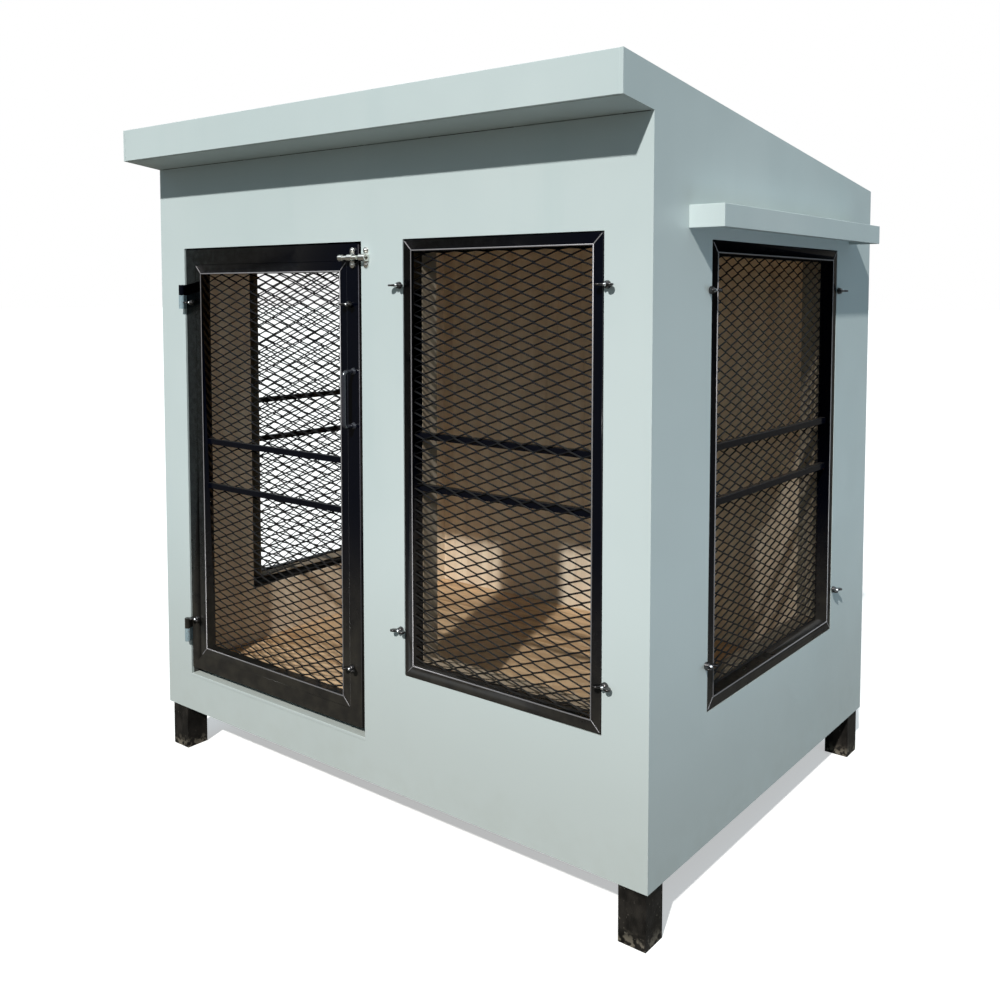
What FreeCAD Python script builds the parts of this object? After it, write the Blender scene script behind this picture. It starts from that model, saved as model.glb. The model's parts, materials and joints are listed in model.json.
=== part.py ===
import FreeCAD, Part
import os
import re

import Sketcher

# Raised, framed animal house with a lean-to roof: a steel tube frame on four legs, boarded
# inside and out, with a mesh door and a mesh window in front and a mesh window in each side.
#
# House coordinates: x from the left outer face, y from the front outer face, z from the ground.
# The part's own frame has its origin under the middle of the whole object, +Y to the back.

DIMENSIONS = [
    ("body_width", 1220, "outside width over the side boards"),
    ("body_depth", 900, "front face to rear face"),
    ("leg_length", 95, "ground to the bottom edge of the walls"),
    ("roof_front", 1330, "top of the roof at the front edge of the eave"),
    ("roof_rear", 1210, "top of the roof at the rear face"),
    ("roof_thickness", 63, "roof, measured upright"),
    ("eave", 84, "overhang in front of the front face"),
    ("board", 6, "thickness of the fibre-cement boards"),
    ("tube", 50, "square frame tube"),
    ("tube_wall", 2, "wall of the frame tube"),
    ("foot_plate", 3, "plate that closes the bottom of each leg"),
    ("rail_top", 170, "top of the base rails"),
    ("joist_top", 176, "top of the floor joists and of the door sill"),
    ("floor_top", 195, "top of the floor planks"),
    ("plank_gap", 1, "gap round a floor plank"),
    ("window_left", 721, "left edge of the front window panel"),
    ("window_bottom", 319, "bottom edge of the front window panel"),
    ("window_width", 414, "front window panel"),
    ("window_height", 768, "front window panel"),
    ("side_window_front", 184, "front edge of a side window panel"),
    ("side_window_bottom", 317, "bottom edge of a side window panel"),
    ("side_window_width", 530, "side window panel"),
    ("side_window_height", 762, "side window panel"),
    ("window_gap", 1, "gap round a window panel in its opening"),
    ("window_stop", 12, "square bar that a window panel rests against"),
    ("frame_face", 20, "panel frame tube, seen from the front"),
    ("frame_depth", 25, "panel frame tube, front to back"),
    ("frame_wall", 1.5, "wall of the panel frame tube"),
    ("bar_face", 12, "height of a cross bar"),
    ("bar_recess", 9, "front of the cross bars behind the front of their frame"),
    ("bar_depth", 12, "cross bar of a window, front to back"),
    ("bar_spacing", 91, "distance between the two cross bars"),
    ("window_bar", 337, "lower cross bar of the front window above its bottom edge"),
    ("side_window_bar", 335, "lower cross bar of a side window above its bottom edge"),
    ("mesh_thickness", 1.5, "expanded metal sheet"),
    ("mesh_strand", 3, "width of a strand of the expanded metal"),
    ("mesh_width", 47.3, "long way of a mesh diamond"),
    ("mesh_height", 18.9, "short way of a mesh diamond"),
    ("side_mesh_width", 42.4, "long way of a mesh diamond in the side windows"),
    ("door_left", 86, "hinge edge of the door leaf"),
    ("door_bottom", 190, "bottom edge of the door leaf"),
    ("door_width", 522, "door leaf"),
    ("door_height", 894, "door leaf"),
    ("door_recess", 2, "front of the leaf behind the front face"),
    ("door_stile", 31, "outer tube of the leaf, seen from the front"),
    ("door_bar", 368, "lower cross bar of the door panel above the bottom edge of the panel"),
    ("door_bar_spacing", 94, "distance between the two cross bars of the door"),
    ("door_bar_depth", 8, "cross bar of the door, front to back"),
    ("door_rebate", 3, "strip behind the door panel"),
    ("door_stop", 18, "width of the stop strips round the door opening"),
    ("stop_depth", 12, "thickness of the stop strips"),
    ("stop_gap", 1, "gap between the closed leaf and its stops"),
    ("hinge_gap", 3, "gap at the hinge edge and over the top of the leaf"),
    ("lock_gap", 9, "gap at the lock edge of the leaf"),
    ("sill_upstand", 24, "height of the stop on the sill"),
    ("hinge_inset", 1.5, "hinge axis in front of the hinge edge, sideways"),
    ("hinge_stand", 9, "hinge axis in front of the front face"),
    ("hinge_radius", 6, "barrel of a hinge"),
    ("hinge_pin", 3.5, "radius of the hinge pin"),
    ("hinge_clearance", 0.06, "radial clearance of the hinge pin"),
    ("hinge_play", 0.4, "gap between the two halves of a hinge"),
    ("hinge_pin_reach", 18, "hinge pin above the joint plane"),
    ("hinge_bore", 20, "depth of the pin's bore in the upper half"),
    ("hinge_plate", 2.4, "thickness of a hinge's welding plate"),
    ("pintle_plate_depth", 33, "welding plate of a pintle, front to back"),
    ("sleeve_plate_depth", 29, "welding plate of a sleeve, front to back"),
    ("hinge_low", 277, "joint plane of the lower hinge"),
    ("hinge_high", 989, "joint plane of the upper hinge"),
    ("pintle_length", 28, "lower half of a hinge"),
    ("sleeve_length", 22, "upper half of a hinge"),
    ("stud_radius", 3, "M6 threaded stud"),
    ("stud_length", 13, "stud in front of the surface it stands on"),
    ("stud_offset", 8, "stud outside the edge of its panel"),
    ("stud_inset", 79, "stud from the top or bottom edge of its panel"),
    ("stud_hole", 7, "diameter of the stud hole in a board"),
    ("nut_clearance", 0.06, "radial clearance of a wing nut on its stud"),
    ("nut_rear", 0.8, "gap behind a wing nut"),
    ("nut_base", 6.5, "radius of a wing nut's hub at its base"),
    ("nut_nose", 5, "radius of a wing nut's hub at its nose"),
    ("nut_height", 7, "height of a wing nut's hub"),
    ("wing_reach", 10.5, "centre of a wing's round end from the stud"),
    ("wing_radius", 5.5, "round end of a wing"),
    ("wing_lift", 10.5, "centre of a wing's round end in front of the nut's base"),
    ("wing_thickness", 2.6, "thickness of a wing"),
    ("web_start", 2, "front of a wing nut's base to the rear of its web"),
    ("handle_radius", 4, "round bar of the pull handle"),
    ("handle_bottom", 752, "lower foot of the pull handle"),
    ("handle_length", 100, "distance between the feet of the pull handle"),
    ("handle_stand", 24, "bar of the pull handle in front of the leaf"),
    ("handle_bend", 8, "bend radius of the pull handle"),
    ("collar_radius", 7, "collar at a foot of the pull handle"),
    ("collar_nose", 5, "front of that collar"),
    ("collar_height", 4, "thickness of that collar"),
    ("screw_head", 3.5, "radius of a pan-head screw's head"),
    ("screw_head_height", 2.2, "height of that head"),
    ("screw_radius", 1.9, "shank of that screw"),
    ("screw_hole", 2, "radius of a screw hole in a plate"),
    ("screw_inset", 6, "screw from the end of its plate"),
    ("bolt_height", 1058, "axis of the bolt"),
    ("bolt_stand", 8.5, "axis of the bolt in front of the front face"),
    ("bolt_radius", 4, "bolt rod"),
    ("bolt_clearance", 0.06, "radial clearance of the rod in its housing"),
    ("keeper_clearance", 0.5, "radial clearance of the rod in the keeper"),
    ("bolt_plate_width", 22, "plate of the bolt and of the keeper"),
    ("bolt_plate_height", 38, "plate of the bolt and of the keeper"),
    ("bolt_plate_thickness", 2, "plate in front of the front face"),
    ("bolt_setback", 24, "plate of the bolt, from its left edge to the lock edge of the leaf"),
    ("bolt_housing", 6.5, "outer radius of the rod's housing"),
    ("housing_start", 8, "housing from the left edge of the bolt's plate"),
    ("housing_length", 12, "housing of the bolt"),
    ("keeper_gap", 2, "plate of the keeper from the edge of the opening"),
    ("keeper_start", 3, "housing from the left edge of the keeper's plate"),
    ("keeper_length", 16, "housing of the keeper"),
    ("rod_setback", 39, "left end of the drawn rod from the lock edge of the leaf"),
    ("rod_length", 46, "bolt rod"),
    ("knob_radius", 6, "knob on the left end of the rod"),
    ("knob_length", 10, "that knob"),
    ("canopy_reach", 60, "window canopy, out from the wall"),
    ("canopy_length", 678, "window canopy, front to back"),
    ("canopy_height", 35, "window canopy"),
    ("canopy_front", 105, "front end of a window canopy"),
    ("canopy_bottom", 1094, "bottom edge of a window canopy"),
]

OVERRUN = 1
PLANK_COUNT = 6
JOIST_COUNT = 4
RAFTER_COUNT = 4
HOUSE_MIDDLE_X = "body_width / 2"
HOUSE_MIDDLE_Y = "(body_depth - eave) / 2"

X_AXIS = FreeCAD.Vector(1, 0, 0)
Z_AXIS = FreeCAD.Vector(0, 0, 1)
OUTWARD = FreeCAD.Vector(0, -1, 0)
NO_TURN = FreeCAD.Rotation()
LAID_OUTWARD = FreeCAD.Rotation(X_AXIS, 90)
LAID_SIDEWAYS = FreeCAD.Rotation(FreeCAD.Vector(0, 1, 0), 90)

doc = FreeCAD.newDocument("calf_hutch")
sheet = doc.addObject("Spreadsheet::Sheet", "Dims")
for row, (alias, value, note) in enumerate(DIMENSIONS, start=1):
    sheet.set(f"A{row}", alias)
    sheet.set(f"B{row}", str(value))
    sheet.set(f"C{row}", note)
    sheet.setAlias(f"B{row}", alias)
doc.recompute()
ALIASES = {alias for alias, _, _ in DIMENSIONS}
nodes = []


# ---- small tools ------------------------------------------------------------------------


def linked(text):
    """An expression in alias names, with each name pointing at its spreadsheet cell."""
    return re.sub(r"[a-z_]+", lambda m: f"Dims.{m[0]}" if m[0] in ALIASES else m[0], str(text))


def bind(thing, **sizes):
    """Binds properties of thing to expressions in alias names."""
    for name, text in sizes.items():
        thing.setExpression(name, linked(text))
    return thing


def at(thing, x, y, z, rotation=NO_TURN):
    """Places thing at a point given by expressions, in its parent's coordinates."""
    thing.Placement = FreeCAD.Placement(FreeCAD.Vector(), rotation)
    for name, text in zip("xyz", (x, y, z)):
        if str(text) != "0":
            thing.setExpression(f"Placement.Base.{name}", linked(text))
    return thing


def node(thing, label, x=0, y=0, z=0, turn=0):
    """Makes thing a sub-part: names it and places it from house coordinates."""
    thing.Label = label
    rotation = FreeCAD.Rotation(Z_AXIS, turn)
    at(thing, f"({x}) - {HOUSE_MIDDLE_X}", f"({y}) - {HOUSE_MIDDLE_Y}", z, rotation)
    nodes.append(thing)
    return thing


def box(name, x, y, z, dx, dy, dz):
    solid = doc.addObject("Part::Box", name)
    bind(solid, Length=dx, Width=dy, Height=dz)
    return at(solid, x, y, z)


def cylinder(name, radius, length, x, y, z, rotation=NO_TURN):
    solid = doc.addObject("Part::Cylinder", name)
    bind(solid, Radius=radius, Height=length)
    return at(solid, x, y, z, rotation)


def group(name, solids):
    """Several separate solids as one object."""
    compound = doc.addObject("Part::Compound", name)
    compound.Links = solids
    return compound


def fuse(name, solids):
    fused = doc.addObject("Part::MultiFuse", name)
    fused.Shapes = solids
    return fused


def cut(name, base, tool):
    result = doc.addObject("Part::Cut", name)
    result.Base = base
    result.Tool = tool
    return result


def tube(name, axis, x, y, z, dx, dy, dz):
    """Rectangular steel tube along one axis, open at both ends."""
    place = dict(zip("xyz", (x, y, z)))
    size = dict(zip("xyz", (dx, dy, dz)))
    outer = box(f"{name}_outer", x, y, z, dx, dy, dz)
    for side in set("xyz") - {axis}:
        place[side] = f"{place[side]} + tube_wall"
        size[side] = f"{size[side]} - 2 * tube_wall"
    core = box(f"{name}_core", *place.values(), *size.values())
    return cut(name, outer, core)


def roof(y):
    """Height of the roof's top at y."""
    return f"(roof_front - (roof_front - roof_rear) / (body_depth + eave) * ({y} + eave))"


def soffit(y):
    """Height of the roof's underside at y."""
    return f"({roof(y)} - roof_thickness)"


def plane_of(body, role):
    return next(f for f in body.Origin.OriginFeatures if f.Role == role)


def pin_point(sketch, line, across, up):
    """Holds the start of a line at distances across and up from the sketch's origin."""
    for kind, text, axis in (("DistanceX", across, -2), ("DistanceY", up, -1)):
        if text == "0":
            sketch.addConstraint(Sketcher.Constraint("PointOnObject", line, 1, axis))
        else:
            index = sketch.addConstraint(Sketcher.Constraint(kind, -1, 1, line, 1, 100.0))
            sketch.setExpression(f"Constraints[{index}]", linked(text))


def outline(sketch, points):
    """Closed loop of straight lines through points given by expressions."""
    first = sketch.GeometryCount
    count = len(points)
    start = FreeCAD.Vector(500, 100, 0)
    spin = FreeCAD.Rotation(Z_AXIS, 360 / count)
    corners = [start]
    while len(corners) < count:
        corners.append(spin.multVec(corners[-1]))
    for a, b in zip(corners, corners[1:] + corners[:1]):
        sketch.addGeometry(Part.LineSegment(a, b))
    for i in range(count):
        after = first + (i + 1) % count
        sketch.addConstraint(Sketcher.Constraint("Coincident", first + i, 2, after, 1))
    for i, (across, up) in enumerate(points):
        pin_point(sketch, first + i, across, up)


def round_hole(sketch, across, up, diameter):
    circle = Part.Circle(FreeCAD.Vector(100, 100, 0), Z_AXIS, 5)
    index = sketch.addGeometry(circle)
    for kind, text in (("DistanceX", across), ("DistanceY", up)):
        at_centre = sketch.addConstraint(Sketcher.Constraint(kind, -1, 1, index, 3, 100.0))
        sketch.setExpression(f"Constraints[{at_centre}]", linked(text))
    width = sketch.addConstraint(Sketcher.Constraint("Diameter", index, 10.0))
    sketch.setExpression(f"Constraints[{width}]", linked(diameter))


def sheet_part(name, role, origin, loops, thickness, holes=()):
    """Flat piece cut to an outline. Points are in house coordinates, two per point, and origin
    is the corner that they are measured from. A YZ piece thickens towards +X, and an XZ piece
    towards -Y."""

    def local(point):
        pairs = zip(point, origin)
        return ["0" if text == low else f"{text} - ({low})" for text, low in pairs]

    body = doc.addObject("PartDesign::Body", name)
    sketch = body.newObject("Sketcher::SketchObject", f"{name}_outline")
    sketch.AttachmentSupport = (plane_of(body, role), [""])
    sketch.MapMode = "FlatFace"
    for loop in loops:
        outline(sketch, [local(point) for point in loop])
    for across, up in holes:
        round_hole(sketch, *local((across, up)), "stud_hole")
    pad = body.newObject("PartDesign::Pad", f"{name}_pad")
    pad.Profile = sketch
    bind(pad, Length=thickness)
    sketch.Visibility = False
    return body


def rectangle(low_across, low_up, high_across, high_up):
    return [
        (low_across, low_up),
        (high_across, low_up),
        (high_across, high_up),
        (low_across, high_up),
    ]


# ---- the four mesh panels ---------------------------------------------------------------

# Each panel is built with x to its right, y into the wall and z up, from its lower left
# corner as seen from outside, and then turned onto its wall.
PANELS = {
    "front_window": {
        "corner": ("window_left", "0", "window_bottom"),
        "turn": 0,
        "size": ("window_width", "window_height"),
    },
    "right_window": {
        "corner": ("body_width", "side_window_front", "side_window_bottom"),
        "turn": 90,
        "size": ("side_window_width", "side_window_height"),
    },
    "left_window": {
        "corner": ("0", "(side_window_front + side_window_width)", "side_window_bottom"),
        "turn": -90,
        "size": ("side_window_width", "side_window_height"),
    },
    "door": {
        "corner": ("(door_left + door_stile)", "door_recess", "(door_bottom + door_stile)"),
        "turn": 0,
        "size": ("(door_width - 2 * door_stile)", "(door_height - 2 * door_stile)"),
    },
}
WINDOWS = ("front_window", "right_window", "left_window")


def spot(panel, across, inward, up):
    """A point of a panel, in house coordinates."""
    x, y, z = PANELS[panel]["corner"]
    turn = PANELS[panel]["turn"]
    if turn == 90:
        return f"{x} - ({inward})", f"{y} + ({across})", f"{z} + ({up})"
    if turn == -90:
        return f"{x} + ({inward})", f"{y} - ({across})", f"{z} + ({up})"
    return f"{x} + ({across})", f"{y} + ({inward})", f"{z} + ({up})"


def stud_spots(panel):
    """The four studs of a panel: across and up, from its lower left corner."""
    width, height = PANELS[panel]["size"]
    return [
        (across, up)
        for up in ("stud_inset", f"({height} - stud_inset)")
        for across in ("-stud_offset", f"({width} + stud_offset)")
    ]


def wedge(name, length, face, inset, near, far):
    """Mitred bar along X. Its section runs from inset to face - inset, and from near to far."""
    bar = doc.addObject("Part::Wedge", name)
    inner = f"{face} - {inset}"
    bind(bar, Xmin=inset, Xmax=f"{length} - {inset}", X2min=inner, X2max=f"{length} - ({inner})")
    bind(bar, Ymin=inset, Ymax=inner, Zmin=near, Zmax=far, Z2min=near, Z2max=far)
    return bar


def mitred_frame(name, width, height, face, depth):
    """Four hollow bars with mitred ends, round a width by height rectangle."""
    corners = [("0", "0", width), (width, "0", height), (width, height, width), ("0", height, height)]
    bars = []
    for quarter, (across, up, length) in enumerate(corners):
        outer = wedge(f"{name}_outer_{quarter}", length, face, "0", "0", depth)
        far = f"{depth} - frame_wall"
        hollow = wedge(f"{name}_hollow_{quarter}", length, face, "frame_wall", "frame_wall", far)
        bar = cut(f"{name}_bar_{quarter}", outer, hollow)
        turn = FreeCAD.Rotation(OUTWARD, 90 * quarter).multiply(LAID_OUTWARD)
        bars.append(at(bar, across, depth, up, turn))
    return group(name, bars)


def cross_bars(name, panel, lowest, spacing, depth):
    """Two flat bars across a panel, between the stiles of its frame."""
    width, _ = PANELS[panel]["size"]
    bars = [
        box(
            f"{name}_{i}",
            "frame_face",
            "bar_recess",
            f"{lowest} + {i} * {spacing} - bar_face / 2",
            f"{width} - 2 * frame_face",
            depth,
            "bar_face",
        )
        for i in range(2)
    ]
    return group(name, bars)


def clipped(points, width, height):
    """The part of a polygon that lies in the rectangle from (0, 0) to (width, height)."""
    for axis, limit, sign in ((0, 0, 1), (0, width, -1), (1, 0, 1), (1, height, -1)):
        kept = []
        for a, b in zip(points, points[1:] + points[:1]):
            a_in = sign * (a[axis] - limit) > 0
            b_in = sign * (b[axis] - limit) > 0
            if a_in:
                kept.append(a)
            if a_in != b_in:
                share = (limit - a[axis]) / (b[axis] - a[axis])
                kept.append(tuple(p + share * (q - p) for p, q in zip(a, b)))
        points = kept
    return points


def area_of(points):
    pairs = zip(points, points[1:] + points[:1])
    return abs(sum(a[0] * b[1] - b[0] * a[1] for a, b in pairs)) / 2


def expanded_metal(name, width, height, pitch_across, depth):
    """Sheet of expanded metal between the bars of a panel frame: a thin plate with rows of
    diamond holes, every second row shifted by half a diamond, and a narrow solid edge."""
    border = sheet.mesh_strand / 2
    smallest_hole = 4.0
    pitch_up = sheet.mesh_height
    lean = (pitch_across**2 + pitch_up**2) ** 0.5
    half_across = (pitch_across - sheet.mesh_strand * lean / pitch_up) / 2
    half_up = (pitch_up - sheet.mesh_strand * lean / pitch_across) / 2
    open_width = width - 2 * sheet.frame_face - 2 * border
    open_height = height - 2 * sheet.frame_face - 2 * border

    def wire(points):
        shift = sheet.frame_face + border
        corners = [FreeCAD.Vector(x + shift, depth, z + shift) for x, z in points]
        return Part.makePolygon(corners + corners[:1])

    low, high_x, high_z = -border, open_width + border, open_height + border
    wires = [wire([(low, low), (high_x, low), (high_x, high_z), (low, high_z)])]
    row_count = int(open_height / pitch_up) + 1
    column_count = int(open_width / pitch_across) + 1
    for row in range(-row_count, row_count + 1):
        z = open_height / 2 + row * pitch_up / 2
        for column in range(-column_count, column_count + 1):
            x = open_width / 2 + (column + row % 2 / 2) * pitch_across
            diamond = [(x - half_across, z), (x, z - half_up), (x + half_across, z), (x, z + half_up)]
            hole = clipped(diamond, open_width, open_height)
            if len(hole) > 2 and area_of(hole) > smallest_hole:
                wires.append(wire(hole[::-1]))
    plate = Part.Face(wires).extrude(FreeCAD.Vector(0, sheet.mesh_thickness, 0))
    feature = doc.addObject("Part::Feature", name)
    feature.Shape = plate
    return feature


def panel_on_wall(thing, label, panel):
    return node(thing, label, *PANELS[panel]["corner"], PANELS[panel]["turn"])


def window_panel(panel, mesh_pitch, mesh_depth, lowest_bar):
    width, height = PANELS[panel]["size"]
    frame = mitred_frame(f"{panel}_tubes", width, height, "frame_face", "frame_depth")
    panel_on_wall(frame, f"{panel}_frame", panel)
    bars = cross_bars(f"{panel}_flats", panel, lowest_bar, "bar_spacing", "bar_depth")
    panel_on_wall(bars, f"{panel}_bars", panel)
    size = (getattr(sheet, width), getattr(sheet, height))
    mesh = expanded_metal(f"{panel}_sheet", *size, mesh_pitch, mesh_depth)
    panel_on_wall(mesh, f"{panel}_mesh", panel)


# ---- frame ------------------------------------------------------------------------------


def corner_posts():
    """The legs: square tubes from the ground to the roof, each closed by a foot plate."""
    inner_x = "(body_width - board - tube)"
    inner_y = "(body_depth - board - tube)"
    for label, x, y in (
        ("post_front_left", "board", "board"),
        ("post_front_right", inner_x, "board"),
        ("post_rear_left", "board", inner_y),
        ("post_rear_right", inner_x, inner_y),
    ):
        top = soffit(f"({y} + tube)")
        outer = box(f"{label}_outer", 0, 0, 0, "tube", "tube", top)
        hollow = "tube - 2 * tube_wall"
        core = box(f"{label}_core", "tube_wall", "tube_wall", "foot_plate", hollow, hollow, top)
        node(cut(f"{label}_tube", outer, core), label, x, y)


def base_frame():
    """Rails between the posts, and joists from the front rail to the rear rail."""
    inside = "(board + tube)"
    low = "(rail_top - tube)"
    between_x = f"(body_width - 2 * {inside})"
    between_y = f"(body_depth - 2 * {inside})"
    rails = [
        tube("rail_front", "x", inside, "board", low, between_x, "tube", "tube"),
        tube("rail_rear", "x", inside, f"body_depth - {inside}", low, between_x, "tube", "tube"),
        tube("rail_left", "y", "board", inside, low, "tube", between_y, "tube"),
        tube("rail_right", "y", f"body_width - {inside}", inside, low, "tube", between_y, "tube"),
    ]
    first = f"({inside} + board)"
    step = f"((body_width - 2 * {first} - tube) / {JOIST_COUNT - 1})"
    for i in range(JOIST_COUNT):
        x = f"{first} + {i} * {step}"
        rails.append(
            tube(f"joist_{i}", "y", x, inside, "joist_top - tube", "tube", between_y, "tube")
        )
    node(group("base_tubes", rails), "base_frame")


def opening_frame(name, x, along, high_side, low, high):
    """Two studs, a header and a sill round a window in a side wall."""
    start, end = along
    length = f"({end} - ({start}))"
    pieces = [
        tube(f"{name}_header", "y", x, start, high, "tube", length, "tube"),
        tube(f"{name}_sill", "y", x, start, f"{low} - tube", "tube", length, "tube"),
    ]
    for end_name, place in (("front", f"{start} - tube"), ("rear", end)):
        top = soffit(high_side if end_name == "rear" else start)
        pieces.append(
            tube(f"{name}_{end_name}", "z", x, place, "rail_top", "tube", "tube", f"{top} - rail_top")
        )
    return pieces


def window_stops(panel):
    """Square bars in a window opening, behind the panel."""
    width, height = PANELS[panel]["size"]
    low = "-window_gap"
    wide = f"{width} + 2 * window_gap"
    tall = f"{height} + 2 * window_gap"
    upright = f"{tall} - 2 * window_stop"
    far_x = f"{width} + window_gap - window_stop"
    far_z = f"{height} + window_gap - window_stop"
    above = "window_stop - window_gap"
    stop = "window_stop"
    bars = [
        box(f"{panel}_stop_bottom", low, "frame_depth", low, wide, stop, stop),
        box(f"{panel}_stop_top", low, "frame_depth", far_z, wide, stop, stop),
        box(f"{panel}_stop_left", low, "frame_depth", above, stop, stop, upright),
        box(f"{panel}_stop_right", far_x, "frame_depth", above, stop, stop, upright),
    ]
    ring = group(f"{panel}_stops", bars)
    turn = FreeCAD.Rotation(Z_AXIS, PANELS[panel]["turn"])
    return at(ring, *PANELS[panel]["corner"], turn)


DOOR_OPENING = {
    "left": "(door_left - hinge_gap)",
    "right": "(door_left + door_width + lock_gap)",
    "top": "(door_bottom + door_height + hinge_gap)",
}
WINDOW_OPENING = {
    "left": "(window_left - window_gap)",
    "right": "(window_left + window_width + window_gap)",
    "bottom": "(window_bottom - window_gap)",
    "top": "(window_bottom + window_height + window_gap)",
}
SIDE_OPENING = {
    "front": "(side_window_front - window_gap)",
    "rear": "(side_window_front + side_window_width + window_gap)",
    "bottom": "(side_window_bottom - window_gap)",
    "top": "(side_window_bottom + side_window_height + window_gap)",
}


def wall_frame():
    """Studs, headers, sills, top rails and stops of the four walls."""
    inside = "(board + tube)"
    door, window, side = DOOR_OPENING, WINDOW_OPENING, SIDE_OPENING
    front_top = soffit(inside)
    stud_height = f"({front_top} - tube - rail_top)"
    pieces = []
    for name, x, width in (
        ("stud_hinge", inside, f"{door['left']} - {inside}"),
        ("stud_lock", door["right"], "tube"),
        ("stud_window", f"{window['left']} - tube", "tube"),
        ("stud_corner", window["right"], f"body_width - {inside} - {window['right']}"),
    ):
        pieces.append(tube(name, "z", x, "board", "rail_top", width, "tube", stud_height))
    for name, opening in (("door_header", door), ("window_header", window)):
        wide = f"{opening['right']} - {opening['left']}"
        pieces.append(tube(name, "x", opening["left"], "board", opening["top"], wide, "tube", "tube"))
    wide = f"{window['right']} - {window['left']}"
    low = f"{window['bottom']} - tube"
    pieces.append(tube("window_sill", "x", window["left"], "board", low, wide, "tube", "tube"))
    between = f"body_width - 2 * {inside}"
    top_rail = f"{front_top} - tube"
    pieces.append(tube("front_top_rail", "x", inside, "board", top_rail, between, "tube", "tube"))

    rear_top = soffit("(body_depth - board)")
    rear_y = f"body_depth - {inside}"
    rear_rail = f"{rear_top} - tube"
    pieces.append(tube("rear_top_rail", "x", inside, rear_y, rear_rail, between, "tube", "tube"))
    for i in (1, 2):
        x = f"{i} * body_width / 3 - tube / 2"
        tall = f"{rear_top} - tube - rail_top"
        pieces.append(tube(f"rear_stud_{i}", "z", x, rear_y, "rail_top", "tube", "tube", tall))

    along = (side["front"], side["rear"])
    for name, x in (("left", "board"), ("right", f"body_width - {inside}")):
        high = f"({side['rear']} + tube)"
        pieces += opening_frame(name, x, along, high, side["bottom"], side["top"])
    pieces += [window_stops(panel) for panel in WINDOWS]
    pieces.append(door_stops())
    node(group("wall_tubes", pieces), "wall_frame")


def door_stops():
    """Flat strips that the leaf closes against, at the sides and the top of its opening."""
    door = DOOR_OPENING
    y = "door_recess + frame_depth + stop_gap"
    low = "joist_top"
    tall = f"{door['top']} - {low}"
    right = f"{door['right']} - door_stop"
    top = f"{door['top']} - door_stop"
    between = f"{door['right']} - {door['left']} - 2 * door_stop"
    strips = [
        box("door_stop_left", door["left"], y, low, "door_stop", "stop_depth", tall),
        box("door_stop_right", right, y, low, "door_stop", "stop_depth", tall),
        box("door_stop_top", f"{door['left']} + door_stop", y, top, between, "stop_depth", "door_stop"),
    ]
    return group("door_stops", strips)


def door_sill():
    """Board on the front rail under the door, with the stop for the leaf's bottom edge, and
    the edging of the floor in the doorway."""
    left, right = DOOR_OPENING["left"], DOOR_OPENING["right"]
    wide = f"{right} - {left}"
    inside = "(tube + board)"
    board = box("sill_board", left, 0, "rail_top", wide, inside, "joist_top - rail_top")
    edging = box("threshold", left, inside, "joist_top", wide, "board", "floor_top - joist_top")
    upstand = box(
        "sill_upstand_strip",
        f"{left} + door_stop",
        "door_recess + frame_depth + stop_gap",
        "joist_top",
        f"{wide} - 2 * door_stop",
        "stop_depth",
        "sill_upstand",
    )
    node(group("sill_boards", [board, upstand, edging]), "door_sill")


# ---- boards -----------------------------------------------------------------------------


def holes_of(panel):
    """Stud holes of a panel's wall, as points across and up that wall."""
    points = [spot(panel, across, 0, up) for across, up in stud_spots(panel)]
    if PANELS[panel]["turn"] == 0:
        return [(x, z) for x, _, z in points]
    return [(y, z) for _, y, z in points]


def front_and_rear_boards():
    door, window = DOOR_OPENING, WINDOW_OPENING
    door_hole = rectangle(door["left"], "rail_top", door["right"], door["top"])
    window_hole = rectangle(window["left"], window["bottom"], window["right"], window["top"])
    right = "(body_width - board)"
    outer = rectangle("board", "leg_length", right, soffit("board"))
    origin = ("board", "leg_length")
    loops = [outer, door_hole, window_hole]
    cladding = sheet_part(
        "front_board", "XZ_Plane", origin, loops, "board", holes_of("front_window")
    )
    node(cladding, "front_cladding", "board", "board", "leg_length")

    rear = rectangle("board", "leg_length", right, "roof_rear")
    cladding = sheet_part("rear_board", "XZ_Plane", origin, [rear], "board")
    node(cladding, "rear_cladding", "board", "body_depth", "leg_length")

    edge = "(board + tube)"
    right = f"(body_width - {edge})"
    low = "joist_top"
    depth = f"({edge} + board)"
    top = f"({soffit(depth)} - board)"
    door_side = [
        (door["right"], low),
        (right, low),
        (right, top),
        (edge, top),
        (edge, low),
        (door["left"], low),
        (door["left"], door["top"]),
        (door["right"], door["top"]),
    ]
    origin = (edge, low)
    lining = sheet_part("front_liner", "XZ_Plane", origin, [door_side, window_hole], "board")
    node(lining, "front_lining", edge, depth, low)

    rear_face = f"(body_depth - {edge})"
    top = f"({soffit(rear_face)} - board)"
    rear = rectangle(edge, low, right, top)
    lining = sheet_part("rear_liner", "XZ_Plane", origin, [rear], "board")
    node(lining, "rear_lining", edge, rear_face, low)


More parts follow.
